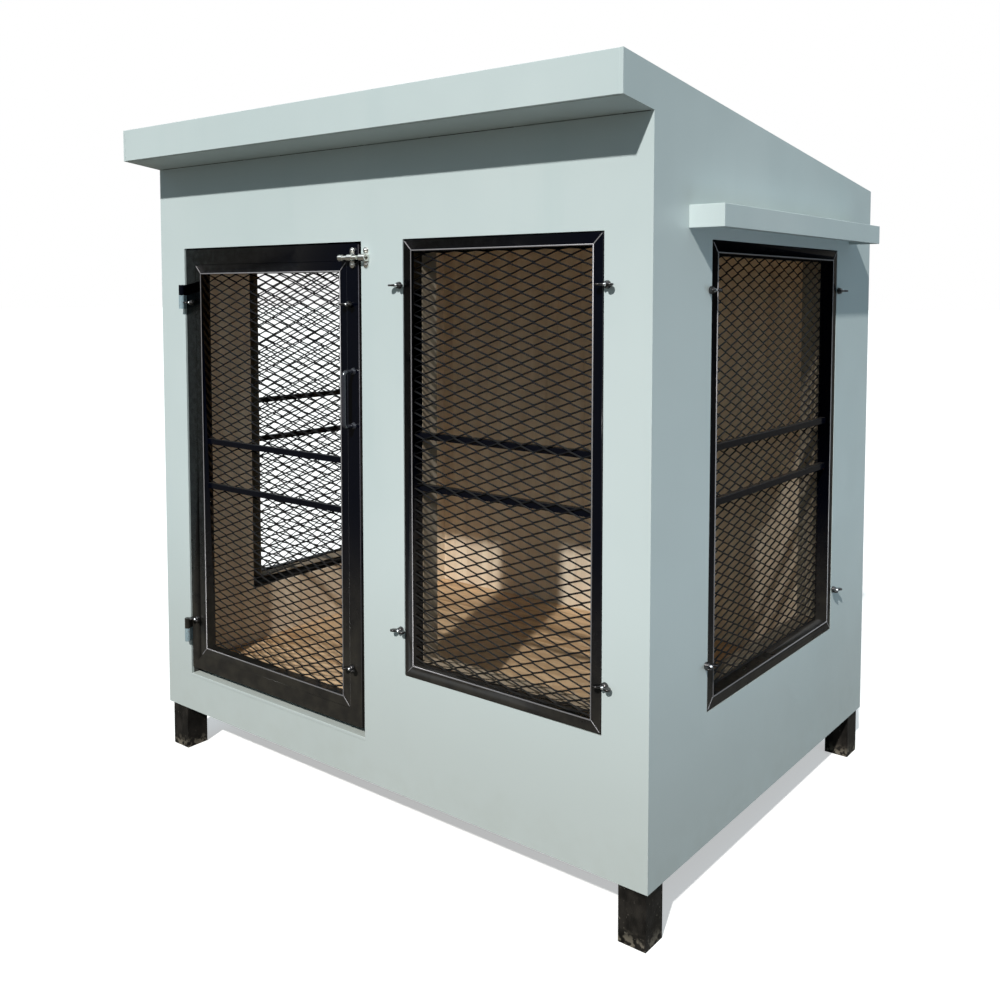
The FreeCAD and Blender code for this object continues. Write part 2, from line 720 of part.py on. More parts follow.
def side_boards():
    side = SIDE_OPENING
    window_hole = rectangle(side["front"], side["bottom"], side["rear"], side["top"])
    outer = [
        ("0", "leg_length"),
        ("body_depth", "leg_length"),
        ("body_depth", "roof_rear"),
        ("-eave", "roof_front"),
        ("-eave", soffit("-eave")),
        ("0", soffit("0")),
    ]
    loops = [outer, window_hole]
    for name, panel, x in (
        ("left", "left_window", "0"),
        ("right", "right_window", "body_width - board"),
    ):
        board = sheet_part(
            f"{name}_board", "YZ_Plane", ("-eave", "leg_length"), loops, "board", holes_of(panel)
        )
        node(board, f"{name}_cladding", x, "-eave", "leg_length")

    front = "(tube + 2 * board)"
    rear = f"(body_depth - {front})"
    inner = [
        (front, "joist_top"),
        (rear, "joist_top"),
        (rear, f"{soffit(rear)} - board"),
        (front, f"{soffit(front)} - board"),
    ]
    for name, x in (("left", "board + tube"), ("right", f"body_width - {front}")):
        liner = sheet_part(
            f"{name}_liner", "YZ_Plane", (front, "joist_top"), [inner, window_hole], "board"
        )
        node(liner, f"{name}_lining", x, front, "joist_top")


def floor_planks():
    """Planks from side to side on the joists."""
    edge = "(tube + 2 * board + plank_gap)"
    length = f"body_width - 2 * {edge}"
    pitch = f"((body_depth - 2 * {edge} + plank_gap) / {PLANK_COUNT})"
    planks = [
        box(
            f"plank_{i}",
            edge,
            f"{edge} + {i} * {pitch}",
            "joist_top",
            length,
            f"{pitch} - plank_gap",
            "floor_top - joist_top",
        )
        for i in range(PLANK_COUNT)
    ]
    node(group("planks", planks), "floor_planks")


# ---- roof -------------------------------------------------------------------------------


def sloping_part(name, front, rear, low, high, width):
    """Piece of the roof, as wide as width, whose long edges are parallel to the roof. low and
    high are its lower and upper faces above the roof's underside."""
    base = f"({soffit(rear)} + {low})"
    points = [
        (front, f"{soffit(front)} + {low}"),
        (rear, base),
        (rear, f"{soffit(rear)} + {high}"),
        (front, f"{soffit(front)} + {high}"),
    ]
    return sheet_part(name, "YZ_Plane", (front, base), [points], width), base


def roof_parts():
    behind_fascia = "(board - eave)"
    rear = "(body_depth - board)"
    under_deck = "(roof_thickness - board)"
    inside_width = "body_width - 2 * board"

    base = soffit(rear)
    rafter_outline = [
        (behind_fascia, f"{soffit(behind_fascia)} + board"),
        ("0", f"{soffit('0')} + board"),
        ("0", soffit("0")),
        (rear, base),
        (rear, f"{soffit(rear)} + {under_deck}"),
        (behind_fascia, f"{soffit(behind_fascia)} + {under_deck}"),
    ]
    rafters = []
    step = f"((body_width - 2 * board - tube) / {RAFTER_COUNT - 1})"
    for i in range(RAFTER_COUNT):
        rafter = sheet_part(
            f"rafter_{i}", "YZ_Plane", (behind_fascia, base), [rafter_outline], "tube"
        )
        rafters.append(at(rafter, f"board + {i} * {step}", behind_fascia, base))
    node(group("rafters", rafters), "roof_rafters")

    deck, base = sloping_part(
        "deck_board", behind_fascia, rear, under_deck, "roof_thickness", inside_width
    )
    node(deck, "roof_deck", "board", behind_fascia, base)

    edge = "(board + tube)"
    ceiling, base = sloping_part(
        "ceiling_board", edge, f"(body_depth - {edge})", "-board", "0", f"body_width - 2 * {edge}"
    )
    node(ceiling, "ceiling_lining", edge, edge, base)

    fascia = box(
        "fascia_board",
        "board",
        "-eave",
        soffit("-eave"),
        inside_width,
        "board",
        f"roof_front - {soffit('-eave')}",
    )
    board, base = sloping_part("soffit_board", behind_fascia, "0", "0", "board", inside_width)
    at(board, "board", behind_fascia, base)
    node(group("eave_pieces", [fascia, board]), "eave_boards")


def canopies():
    """Open-bottomed hoods over the side windows, each with a board set up inside it."""
    for name, turn in (("right", 90), ("left", -90)):
        shell = box(f"{name}_hood", 0, "-canopy_reach", 0, "canopy_length", "canopy_reach", "canopy_height")
        hollow = box(
            f"{name}_hood_hollow",
            "board",
            "board - canopy_reach",
            0,
            "canopy_length - 2 * board",
            "canopy_reach",
            "canopy_height - board",
        )
        hood = cut(f"{name}_hood_shell", shell, hollow)
        board = box(
            f"{name}_hood_board",
            "board",
            "board - canopy_reach",
            "board",
            "canopy_length - 2 * board",
            "canopy_reach - board",
            "board",
        )
        canopy = group(f"{name}_hood_parts", [hood, board])
        if turn > 0:
            node(canopy, f"{name}_canopy", "body_width", "canopy_front", "canopy_bottom", turn)
        else:
            rear = "canopy_front + canopy_length"
            node(canopy, f"{name}_canopy", 0, rear, "canopy_bottom", turn)


# ---- door -------------------------------------------------------------------------------


def door_leaf():
    """Outer tube frame, with strips behind the panel that the door carries."""
    leaf = mitred_frame("leaf_tubes", "door_width", "door_height", "door_stile", "frame_depth")
    y = "frame_depth - door_rebate"
    inner_x = "(door_width - 2 * door_stile)"
    inner_z = "(door_height - 2 * door_stile)"
    right = "door_width - door_stile - window_stop"
    top = "door_height - door_stile - window_stop"
    between = f"{inner_x} - 2 * window_stop"
    strip = ("door_rebate", "window_stop")
    above = "door_stile + window_stop"
    strips = [
        box("rebate_left", "door_stile", y, "door_stile", "window_stop", "door_rebate", inner_z),
        box("rebate_right", right, y, "door_stile", "window_stop", "door_rebate", inner_z),
        box("rebate_bottom", above, y, "door_stile", between, *strip),
        box("rebate_top", above, y, top, between, *strip),
    ]
    leaf_node = group("leaf", [leaf] + strips)
    node(leaf_node, "door_frame", "door_left", "door_recess", "door_bottom")

    width, height = PANELS["door"]["size"]
    depth = "(frame_depth - door_rebate)"
    frame = mitred_frame("door_panel_tubes", width, height, "frame_face", depth)
    panel_on_wall(frame, "door_panel_frame", "door")
    bars = cross_bars("door_flats", "door", "door_bar", "door_bar_spacing", "door_bar_depth")
    panel_on_wall(bars, "door_bars", "door")
    panel_width = sheet.door_width - 2 * sheet.door_stile
    panel_height = sheet.door_height - 2 * sheet.door_stile
    behind_bars = sheet.bar_recess + sheet.door_bar_depth
    mesh = expanded_metal("door_sheet", panel_width, panel_height, sheet.mesh_width, behind_bars)
    panel_on_wall(mesh, "door_mesh", "door")


def pull_handle():
    """Round bar bent to a bow, with a collar at each foot."""
    reach = "(handle_stand - handle_bend)"
    pieces = [
        cylinder(
            "grip",
            "handle_radius",
            "handle_length - 2 * handle_bend",
            0,
            "-handle_stand",
            "handle_bend",
        )
    ]
    down = FreeCAD.Vector(0, 0, -1)
    for name, z, side, start in (("low", "0", 1, down), ("high", "handle_length", -1, Z_AXIS)):
        pieces.append(cylinder(f"foot_{name}", "handle_radius", reach, 0, 0, z, LAID_OUTWARD))
        collar = doc.addObject("Part::Cone", f"collar_{name}")
        bind(collar, Radius1="collar_radius", Radius2="collar_nose", Height="collar_height")
        pieces.append(at(collar, 0, 0, z, LAID_OUTWARD))
        bend = doc.addObject("Part::Torus", f"bend_{name}")
        bind(bend, Radius1="handle_bend", Radius2="handle_radius")
        bend.Angle3 = 90
        turn = FreeCAD.Rotation(start, OUTWARD, start.cross(OUTWARD), "XYZ")
        pieces.append(at(bend, 0, f"-{reach}", f"{z} + {side} * handle_bend", turn))
    x = "door_left + door_width - door_stile / 2"
    node(fuse("handle_bar", pieces), "door_handle", x, "door_recess", "handle_bottom")


def hinges():
    """Lift-off hinges: pintles on the house, and sleeves on the leaf that drop over them."""
    axis = ("(door_left - hinge_inset)", "-hinge_stand")
    jamb = DOOR_OPENING["left"]
    pintles = []
    sleeves = []
    for name, z in (("low", "hinge_low"), ("high", "hinge_high")):
        below = f"{z} - pintle_length"
        barrel = cylinder(f"pintle_barrel_{name}", "hinge_radius", "pintle_length", *axis, below)
        pin = cylinder(f"pintle_pin_{name}", "hinge_pin", "pintle_length + hinge_pin_reach", *axis, below)
        size = ("hinge_plate", "pintle_plate_depth", "pintle_length")
        plate = box(f"pintle_plate_{name}", jamb, "-hinge_stand", below, *size)
        pintles.append(fuse(f"pintle_{name}", [barrel, pin, plate]))

        above = f"{z} + hinge_play"
        tall = "sleeve_length - hinge_play"
        barrel = cylinder(f"sleeve_barrel_{name}", "hinge_radius", tall, *axis, above)
        x = "door_left - hinge_plate"
        size = ("hinge_plate", "sleeve_plate_depth", tall)
        plate = box(f"sleeve_plate_{name}", x, "-hinge_stand", above, *size)
        bore = cylinder(f"sleeve_bore_{name}", "hinge_pin + hinge_clearance", "hinge_bore", *axis, z)
        sleeves.append(cut(f"sleeve_{name}", fuse(f"sleeve_body_{name}", [barrel, plate]), bore))
    node(group("pintles", pintles), "hinge_pintles")
    node(group("sleeves", sleeves), "hinge_sleeves")


def screw(name, x, y, z, length):
    """Pan-head screw, driven inward from y."""
    head = cylinder(f"{name}_head", "screw_head", "screw_head_height", x, y, z, LAID_OUTWARD)
    long = f"{length} + screw_head_height / 2"
    shank = cylinder(f"{name}_shank", "screw_radius", long, x, f"{y} + {length}", z, LAID_OUTWARD)
    return fuse(name, [head, shank])


def bolt_fitting(name, left, thickness, housing, bore):
    """Plate with a round housing for the rod, and two screws. housing is where the housing
    starts on the plate and its length."""
    start, length = housing
    low = "(bolt_height - bolt_plate_height / 2)"
    front = "-bolt_plate_thickness"
    plate = box(f"{name}_flat", left, front, low, "bolt_plate_width", thickness, "bolt_plate_height")
    rod_line = ("-bolt_stand", "bolt_height", LAID_SIDEWAYS)
    x = f"{left} + {start}"
    round_part = cylinder(f"{name}_round", "bolt_housing", length, x, *rod_line)
    rise = "bolt_stand - bolt_plate_thickness"
    foot_z = "bolt_height - bolt_housing"
    foot = box(f"{name}_foot", x, "-bolt_stand", foot_z, length, rise, "2 * bolt_housing")
    body = fuse(f"{name}_body", [plate, round_part, foot])
    wide = f"{length} + 2 * {OVERRUN}"
    bores = [cylinder(f"{name}_bore", bore, wide, f"{x} - {OVERRUN}", *rod_line)]
    screws = []
    middle = f"{left} + bolt_plate_width / 2"
    high = f"{low} + bolt_plate_height"
    for end, z in (("low", f"{low} + screw_inset"), ("high", f"{high} - screw_inset")):
        deep = f"{thickness} + 2 * {OVERRUN}"
        hole_y = f"{front} + {thickness} + {OVERRUN}"
        hole = cylinder(f"{name}_hole_{end}", "screw_hole", deep, middle, hole_y, z, LAID_OUTWARD)
        bores.append(hole)
        screws.append(screw(f"{name}_screw_{end}", middle, front, z, thickness))
    return cut(name, body, fuse(f"{name}_bores", bores)), screws


def bolt():
    """Barrel bolt at the top of the lock stile. It is drawn back, clear of its keeper."""
    door_edge = "(door_left + door_width)"
    plate, screws = bolt_fitting(
        "bolt_base",
        f"{door_edge} - bolt_setback",
        "bolt_plate_thickness + door_recess",
        ("housing_start", "housing_length"),
        "bolt_radius + bolt_clearance",
    )
    node(plate, "bolt_plate")
    node(group("bolt_base_screws", screws), "bolt_screws")
    keeper, screws = bolt_fitting(
        "keeper_base",
        f"{DOOR_OPENING['right']} + keeper_gap",
        "bolt_plate_thickness",
        ("keeper_start", "keeper_length"),
        "bolt_radius + keeper_clearance",
    )
    node(group("keeper_parts", [keeper] + screws), "bolt_keeper")

    rod = cylinder("rod", "bolt_radius", "rod_length", 0, 0, 0, LAID_SIDEWAYS)
    knob = cylinder("knob", "knob_radius", "knob_length", 0, 0, 0, LAID_SIDEWAYS)
    rod_node = fuse("rod_and_knob", [rod, knob])
    node(rod_node, "bolt_rod", f"{door_edge} - rod_setback", "-bolt_stand", "bolt_height")


# ---- studs and wing nuts ----------------------------------------------------------------


def stud_group(name, panels, inward):
    """Threaded studs beside the panels. They start inward of the surface they stand on."""
    studs = []
    for panel in panels:
        turn = FreeCAD.Rotation(Z_AXIS, PANELS[panel]["turn"]).multiply(LAID_OUTWARD)
        for i, (across, up) in enumerate(stud_spots(panel), start=1):
            point = spot(panel, across, inward, up)
            length = f"stud_length + {inward}"
            studs.append(cylinder(f"{panel}_stud_{i}", "stud_radius", length, *point, turn))
    return group(name, studs)


def wing_nut(name):
    """Wing nut with its axis along -Y, its base just in front of y = 0 and its wings level."""
    hub = doc.addObject("Part::Cone", f"{name}_hub")
    bind(hub, Radius1="nut_base", Radius2="nut_nose", Height="nut_height")
    at(hub, 0, "-nut_rear", 0, LAID_OUTWARD)
    pieces = [hub]
    low = "-wing_thickness / 2"
    for side, sign in (("left", "-"), ("right", "")):
        middle = (f"{sign}wing_reach", "-nut_rear - wing_lift")
        pieces.append(
            cylinder(f"{name}_{side}", "wing_radius", "wing_thickness", *middle, low)
        )
    web = box(
        f"{name}_web",
        "-wing_reach",
        "-nut_rear - wing_lift",
        low,
        "2 * wing_reach",
        "wing_lift - web_start",
        "wing_thickness",
    )
    pieces.append(web)
    gap = box(
        f"{name}_gap",
        "-nut_nose",
        "-nut_rear - wing_lift - wing_radius",
        "-wing_thickness",
        "2 * nut_nose",
        "wing_lift + wing_radius - nut_height",
        "2 * wing_thickness",
    )
    radius = "stud_radius + nut_clearance"
    bore = cylinder(f"{name}_bore", radius, "3 * nut_height", 0, OVERRUN, 0, LAID_OUTWARD)
    return cut(name, fuse(f"{name}_body", pieces), fuse(f"{name}_tools", [gap, bore]))


def wing_nuts():
    for panel, settings in PANELS.items():
        for i, (across, up) in enumerate(stud_spots(panel), start=1):
            nut = wing_nut(f"{panel}_wing_{i}")
            node(nut, f"{panel}_nut_{i}", *spot(panel, across, 0, up), settings["turn"])


# ---- assembly ---------------------------------------------------------------------------

corner_posts()
base_frame()
wall_frame()
door_sill()
front_and_rear_boards()
side_boards()
floor_planks()
roof_parts()
canopies()
in_front_of_bars = sheet.bar_recess - sheet.mesh_thickness
behind_window_bars = sheet.bar_recess + sheet.bar_depth
window_panel("front_window", sheet.mesh_width, in_front_of_bars, "window_bar")
for side_window in ("right_window", "left_window"):
    window_panel(side_window, sheet.side_mesh_width, behind_window_bars, "side_window_bar")
door_leaf()
pull_handle()
hinges()
bolt()
node(stud_group("studs_of_windows", WINDOWS, "board"), "window_studs")
node(stud_group("studs_of_door", ["door"], "0"), "door_studs")
wing_nuts()

doc.recompute()
faults = [thing.Label for thing in doc.Objects if {"Invalid", "Error"} & set(thing.State)]
faults += [part.Label for part in nodes if part.Shape.isNull() or not part.Shape.isValid()]
if faults:
    raise RuntimeError(f"not built: {faults}")

os.makedirs("parts", exist_ok=True)
for part in nodes:
    part.Shape.exportStep(f"parts/{part.Label}.step")
print(len(nodes), "sub-parts written")
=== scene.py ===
"""Looks of the boarded hutch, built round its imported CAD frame.

Metres. +X to the right seen from the door side, +Y to the back, +Z up.
"""

import json
import math

import bmesh
import bpy
from mathutils import Matrix, Vector, geometry


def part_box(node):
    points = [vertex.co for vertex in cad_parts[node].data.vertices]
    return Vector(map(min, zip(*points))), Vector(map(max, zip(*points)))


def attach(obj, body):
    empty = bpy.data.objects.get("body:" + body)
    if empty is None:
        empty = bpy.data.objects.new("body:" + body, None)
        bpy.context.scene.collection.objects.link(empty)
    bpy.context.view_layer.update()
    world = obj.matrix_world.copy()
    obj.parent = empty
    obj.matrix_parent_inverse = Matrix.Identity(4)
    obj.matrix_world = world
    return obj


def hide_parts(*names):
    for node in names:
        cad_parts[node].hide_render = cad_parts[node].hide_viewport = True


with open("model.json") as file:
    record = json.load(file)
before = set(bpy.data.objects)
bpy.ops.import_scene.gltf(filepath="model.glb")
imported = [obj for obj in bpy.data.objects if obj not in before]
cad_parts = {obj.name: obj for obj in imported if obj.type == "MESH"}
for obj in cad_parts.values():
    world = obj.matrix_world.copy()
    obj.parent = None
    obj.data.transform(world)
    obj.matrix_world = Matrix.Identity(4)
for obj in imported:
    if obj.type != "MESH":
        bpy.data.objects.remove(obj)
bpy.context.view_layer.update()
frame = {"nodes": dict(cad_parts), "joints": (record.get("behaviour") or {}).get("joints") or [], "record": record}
nodes = frame["nodes"]

MM = 0.001
TINY = 0.01 * MM
UP = Vector((0, 0, 1))
BACK = Vector((0, 1, 0))
RIGHT = Vector((1, 0, 0))

# ---- places read from the frame ---------------------------------------------------------

front_low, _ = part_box("front_cladding")
floor_low, floor_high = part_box("floor_planks")
WALL_BOTTOM = front_low.z
PLANK_COUNT = 6
PLANK_PITCH = (floor_high.y - floor_low.y) / PLANK_COUNT

# Every panel: the node whose box gives its outline, the way in through it, the way across,
# the body that carries it, and whether its mesh lies on the outside of its cross bars.
PANELS = {
    "front_window": ("front_window_frame", BACK, RIGHT, "house", True),
    "right_window": ("right_window_frame", -RIGHT, BACK, "house", False),
    "left_window": ("left_window_frame", RIGHT, BACK, "house", False),
    "door": ("door_panel_frame", BACK, RIGHT, "door", False),
}
FRAME_FACE = 20 * MM

# ---- materials --------------------------------------------------------------------------

# The upward share of a face's direction where dust starts to lie, and where it all stays.
LEVEL_ENOUGH = (0.5, 0.95)


class Paint:
    """One procedural material. Its patterns are placed by object coordinates, so they stay
    on the piece when it moves."""

    def __init__(self, name, **constants):
        self.material = bpy.data.materials.new(name)
        self.material.use_nodes = True
        self.tree = self.material.node_tree
        self.shader = self.tree.nodes["Principled BSDF"]
        for socket, value in constants.items():
            self.shader.inputs[socket.replace("_", " ")].default_value = value
        self.place = self.tree.nodes.new("ShaderNodeTexCoord").outputs["Object"]

    def feed(self, socket, value):
        """Links a node's output to a socket, or sets the socket to a constant."""
        if isinstance(value, bpy.types.NodeSocket):
            self.tree.links.new(value, socket)
        else:
            socket.default_value = value

    def node(self, kind, inputs=(), **settings):
        made = self.tree.nodes.new(kind)
        for key, value in settings.items():
            setattr(made, key, value)
        for key, value in dict(inputs).items():
            self.feed(made.inputs[key], value)
        return made

    def set(self, socket, value):
        self.tree.links.new(value, self.shader.inputs[socket])

    def stretched(self, where, scale):
        return self.node("ShaderNodeMapping", {"Vector": where, "Scale": scale}).outputs["Vector"]

    def pattern(self, where, scale, detail, distortion=0.0):
        """Soft noise from 0 to 1 at a place."""
        inputs = {"Vector": where, "Scale": scale, "Detail": detail, "Distortion": distortion}
        return self.node("ShaderNodeTexNoise", inputs).outputs["Fac"]

    def noise(self, scale, detail, stretch=(1, 1, 1), distortion=0.0):
        """Soft noise on the piece. A small stretch factor draws it out along that axis."""
        return self.pattern(self.stretched(self.place, stretch), scale, detail, distortion)

    def band(self, value, low, high, to_low=0.0, to_high=1.0):
        """A smooth step: to_low where value is at low or beyond, to_high at high or beyond."""
        inputs = {"Value": value, "From Min": low, "From Max": high, "To Min": to_low, "To Max": to_high}
        made = self.node("ShaderNodeMapRange", inputs, interpolation_type="SMOOTHSTEP")
        return made.outputs["Result"]

    def maths(self, operation, a, b):
        return self.node("ShaderNodeMath", {0: a, 1: b}, operation=operation).outputs[0]

    def product(self, a, b):
        return self.maths("MULTIPLY", a, b)

    def mix(self, share, a, b, blend="MIX"):
        """Colour a where share is 0 and b where it is 1. A colour is a socket or (r, g, b)."""
        made = self.node("ShaderNodeMix", data_type="RGBA", blend_type=blend)
        factor, first, second = made.inputs[0], made.inputs[6], made.inputs[7]
        self.feed(factor, share)
        for socket, color in ((first, a), (second, b)):
            self.feed(socket, (*color, 1) if isinstance(color, tuple) else color)
        return made.outputs[2]

    def tinted(self, color, painted_shade):
        return self.mix(1.0, color, painted_shade, "MULTIPLY")

    def axis(self, name):
        return self.node("ShaderNodeSeparateXYZ", {"Vector": self.place}).outputs[name]

    def facing_up(self):
        """0 on walls and undersides, 1 on level tops."""
        normal = self.node("ShaderNodeNewGeometry").outputs["Normal"]
        up = self.node("ShaderNodeSeparateXYZ", {"Vector": normal}).outputs["Z"]
        return self.band(up, *LEVEL_ENOUGH)

    def bump(self, height, strength, distance):
        inputs = {"Height": height, "Strength": strength, "Distance": distance}
        self.set("Normal", self.node("ShaderNodeBump", inputs).outputs["Normal"])


PAINT_TONES = (0.537, 0.622, 0.628), (0.588, 0.665, 0.668)
PAINT_STREAK = (0.49, 0.595, 0.60)
PAINT_LOWER_DARKER = (0.43, 0.465, 0.45)
PAINT_SPLASH = (0.40, 0.43, 0.40)
PAINT_DUST = (0.47, 0.50, 0.46)
PAINT_CHIP = (0.16, 0.10, 0.07)
LOWER_DARKER_HEIGHT = 0.50
SPLASH_HEIGHT = 0.22


def wall_paint(name="wall_paint", wear=0.0, painted_shade=None):
    """Satin blue-green paint, rolled on: faint streaks down the boards, a fine roller
    stipple, splashes low down and a film of dust on the tops. Worn paint has rusty chips."""
    paint = Paint(name, IOR=1.45)
    tone = paint.noise(1.6, detail=4.0, stretch=(1, 1, 0.55))
    color = paint.mix(paint.band(tone, 0.35, 0.65), *PAINT_TONES)
    streak = paint.noise(9.0, detail=5.0, stretch=(1.3, 1.3, 0.12))
    color = paint.mix(paint.band(streak, 0.52, 0.8, to_high=0.35), color, PAINT_STREAK)

    height = paint.axis("Z")
    # Darker and greyer towards the bottom of the walls.
    lower_darker = paint.band(height, WALL_BOTTOM + LOWER_DARKER_HEIGHT, WALL_BOTTOM, to_high=0.72)
    color = paint.mix(lower_darker, color, PAINT_LOWER_DARKER)
    low_down = paint.band(height, WALL_BOTTOM + SPLASH_HEIGHT, WALL_BOTTOM)
    splash = paint.product(low_down, paint.noise(26, detail=6.0))
    color = paint.mix(paint.band(splash, 0.30, 0.75, to_high=0.22), color, PAINT_SPLASH)

    patches = paint.band(paint.noise(5.5, detail=6.0), 0.3, 0.7, to_low=0.25, to_high=0.8)
    color = paint.mix(paint.product(paint.facing_up(), patches), color, PAINT_DUST)
    # A painted_shade colour multiplies the paint: painted shade, a darker copy for parts that sit in shade.
    if painted_shade:
        color = paint.tinted(color, painted_shade)
    if wear:
        chips = paint.band(paint.noise(330, detail=3.0), 0.62, 0.68, to_high=wear)
        color = paint.mix(chips, color, PAINT_CHIP)
    paint.set("Base Color", color)

    sheen = paint.noise(14, detail=4.0)
    paint.set("Roughness", paint.band(sheen, 0.3, 0.7, to_low=0.36, to_high=0.50))
    paint.bump(paint.noise(420, detail=2.0), strength=0.10, distance=0.4 * MM)
    return paint.material


def black_enamel(name, clean, dusty, roughness, dust_low, dust_high, shine=0.35):
    """Gloss black on steel: the clean colour over dust_high, and a film of dust that is
    thickest under dust_low and on every top."""
    paint = Paint(name, IOR=1.5, Specular_IOR_Level=shine)
    height = paint.band(paint.axis("Z"), dust_high, dust_low)
    patches = paint.band(paint.noise(38, detail=6.0), 0.25, 0.75, to_low=0.55)
    on_tops = paint.product(paint.facing_up(), paint.noise(60, detail=4.0))
    film = paint.maths("MAXIMUM", paint.product(height, patches), on_tops)
    paint.set("Base Color", paint.mix(film, clean, dusty))

    brushed = paint.noise(90, detail=5.0)
    rough = paint.band(brushed, 0.3, 0.7, to_low=roughness, to_high=roughness + 0.1)
    paint.set("Roughness", paint.maths("ADD", rough, paint.product(film, 0.22)))
    paint.bump(paint.noise(240, detail=2.0), strength=0.08, distance=0.4 * MM)
    return paint.material


LEG_BLACKS = (0.005, 0.0045, 0.004), (0.019, 0.016, 0.013)
LEG_SPOTS = (0.10, 0.09, 0.075)
LEG_RUBBED = (0.16, 0.14, 0.11)
RUBBED_HEIGHT = 30 * MM


def leg_enamel():
    """Black paint on the legs: matt with dust, splashed pale spots and rubbed feet."""
    paint = Paint("leg_enamel", IOR=1.5, Specular_IOR_Level=0.3)
    dirt = paint.noise(42, detail=8.0, stretch=(1, 1, 0.6))
    color = paint.mix(paint.band(dirt, 0.38, 0.72), *LEG_BLACKS)
    spots = paint.band(paint.noise(190, detail=4.0), 0.66, 0.72)
    color = paint.mix(spots, color, LEG_SPOTS)
    foot = paint.band(paint.axis("Z"), RUBBED_HEIGHT, 0.0)
    rubbed = paint.product(foot, paint.band(paint.noise(120, detail=5.0), 0.45, 0.6))
    paint.set("Base Color", paint.mix(rubbed, color, LEG_RUBBED))
    paint.set("Roughness", paint.band(dirt, 0.3, 0.7, to_low=0.34, to_high=0.66))
    paint.bump(paint.noise(160, detail=6.0), strength=0.22, distance=0.6 * MM)
    return paint.material


BOARD_TONES = (0.76, 0.625, 0.475), (0.87, 0.755, 0.600)
BOARD_BLOTCH = (0.70, 0.57, 0.43)
BOARD_FIBRE = (0.40, 0.31, 0.22)


def lining_board(name="lining_board", painted_shade=None):
    """Bare beige board inside: a soft upright grain, faint blotches and dark fibres."""
    paint = Paint(name, IOR=1.4)
    grain = paint.noise(9.0, detail=6.0, stretch=(3.2, 3.2, 0.22), distortion=0.4)
    color = paint.mix(paint.band(grain, 0.35, 0.66), *BOARD_TONES)
    blotch = paint.band(paint.noise(2.7, detail=4.0), 0.5, 0.75, to_high=0.5)
    color = paint.mix(blotch, color, BOARD_BLOTCH)
    fibres = paint.noise(70, detail=3.0, stretch=(1, 1, 0.07))
    color = paint.mix(paint.band(fibres, 0.55, 0.8, to_high=0.35), color, BOARD_FIBRE)
    # A painted_shade colour multiplies the board: painted shade, a darker copy for faces in shade.
    if painted_shade:
        color = paint.tinted(color, painted_shade)
    paint.set("Base Color", color)
    paint.set("Roughness", paint.band(grain, 0.3, 0.7, to_low=0.62, to_high=0.80))
    relief = paint.noise(110, detail=4.0, stretch=(1, 1, 0.15))
    paint.bump(relief, strength=0.18, distance=0.5 * MM)
    return paint.material


WOOD_TONES = (0.38, 0.225, 0.105), (0.74, 0.520, 0.310)
WOOD_PALE = (0.74, 0.54, 0.34)
WOOD_PORES = (0.20, 0.105, 0.045)
WOOD_LITTER = (0.66, 0.56, 0.43)
GRAIN_STRETCH = (1.1, 13, 13)
GRAIN_SHIFT = 7.0


def floor_wood():
    """Planks with a wood grain along X. Each plank has its own tone and its own grain."""
    paint = Paint("floor_wood", IOR=1.45)
    from_first = paint.maths("SUBTRACT", paint.axis("Y"), floor_low.y)
    number = paint.maths("FLOOR", paint.maths("DIVIDE", from_first, PLANK_PITCH), 0.0)
    random = paint.node("ShaderNodeTexWhiteNoise", {"W": number}, noise_dimensions="1D")
    tone = random.outputs["Value"]
    shift = paint.node("ShaderNodeCombineXYZ", {"X": paint.product(tone, GRAIN_SHIFT)})
    inputs = {0: paint.place, 1: shift.outputs["Vector"]}
    shifted = paint.node("ShaderNodeVectorMath", inputs, operation="ADD").outputs["Vector"]
    along = paint.stretched(shifted, GRAIN_STRETCH)

    grain = paint.pattern(along, 3.4, detail=7.0, distortion=0.9)
    color = paint.mix(paint.band(grain, 0.33, 0.68), *WOOD_TONES)
    color = paint.mix(paint.band(tone, 0.0, 1.0, to_high=0.45), color, WOOD_PALE)
    pores = paint.pattern(along, 26.0, detail=3.0)
    color = paint.mix(paint.band(pores, 0.55, 0.72, to_high=0.5), color, WOOD_PORES)
    litter = paint.band(paint.noise(75, detail=6.0), 0.60, 0.72, to_high=0.55)
    paint.set("Base Color", paint.mix(litter, color, WOOD_LITTER))
    paint.set("Roughness", paint.band(grain, 0.3, 0.7, to_low=0.48, to_high=0.66))
    paint.bump(pores, strength=0.25, distance=0.4 * MM)
    return paint.material


def bright_metal(name, color, roughness, stretch=(1, 1, 1), metallic=1.0):
    """Bare metal: fine brush lines, dull patches and a little grime."""
    paint = Paint(name, Metallic=metallic)
    lines = paint.noise(900, detail=2.0, stretch=stretch)
    grime = paint.band(paint.noise(130, detail=5.0), 0.60, 0.78, to_high=0.55)
    dark = tuple(0.35 * part for part in color)
    paint.set("Base Color", paint.mix(grime, color, dark))
    rough = paint.band(lines, 0.3, 0.7, to_low=roughness, to_high=roughness + 0.12)
    paint.set("Roughness", paint.maths("ADD", rough, paint.product(grime, 0.3)))
    paint.bump(lines, strength=0.06, distance=0.1 * MM)
    return paint.material


STEEL_BLACKS = (0.022, 0.022, 0.023), (0.050, 0.048, 0.045)
STEEL_SCRATCH = (0.22, 0.21, 0.20)


def frame_steel():
    """Black brushed-on paint over welded tube, with lap marks and some bare scratches."""
    paint = Paint("frame_steel", IOR=1.5)
    brushed = paint.noise(60, detail=4.0, stretch=(0.3, 0.3, 1))
    color = paint.mix(paint.band(brushed, 0.3, 0.7), *STEEL_BLACKS)
    scratches = paint.noise(210, detail=3.0, stretch=(0.2, 1, 1))
    scratched = paint.band(scratches, 0.70, 0.74, to_high=0.6)
    paint.set("Base Color", paint.mix(scratched, color, STEEL_SCRATCH))
    paint.set("Roughness", paint.band(brushed, 0.3, 0.7, to_low=0.36, to_high=0.55))
    paint.bump(brushed, strength=0.2, distance=0.3 * MM)
    return paint.material


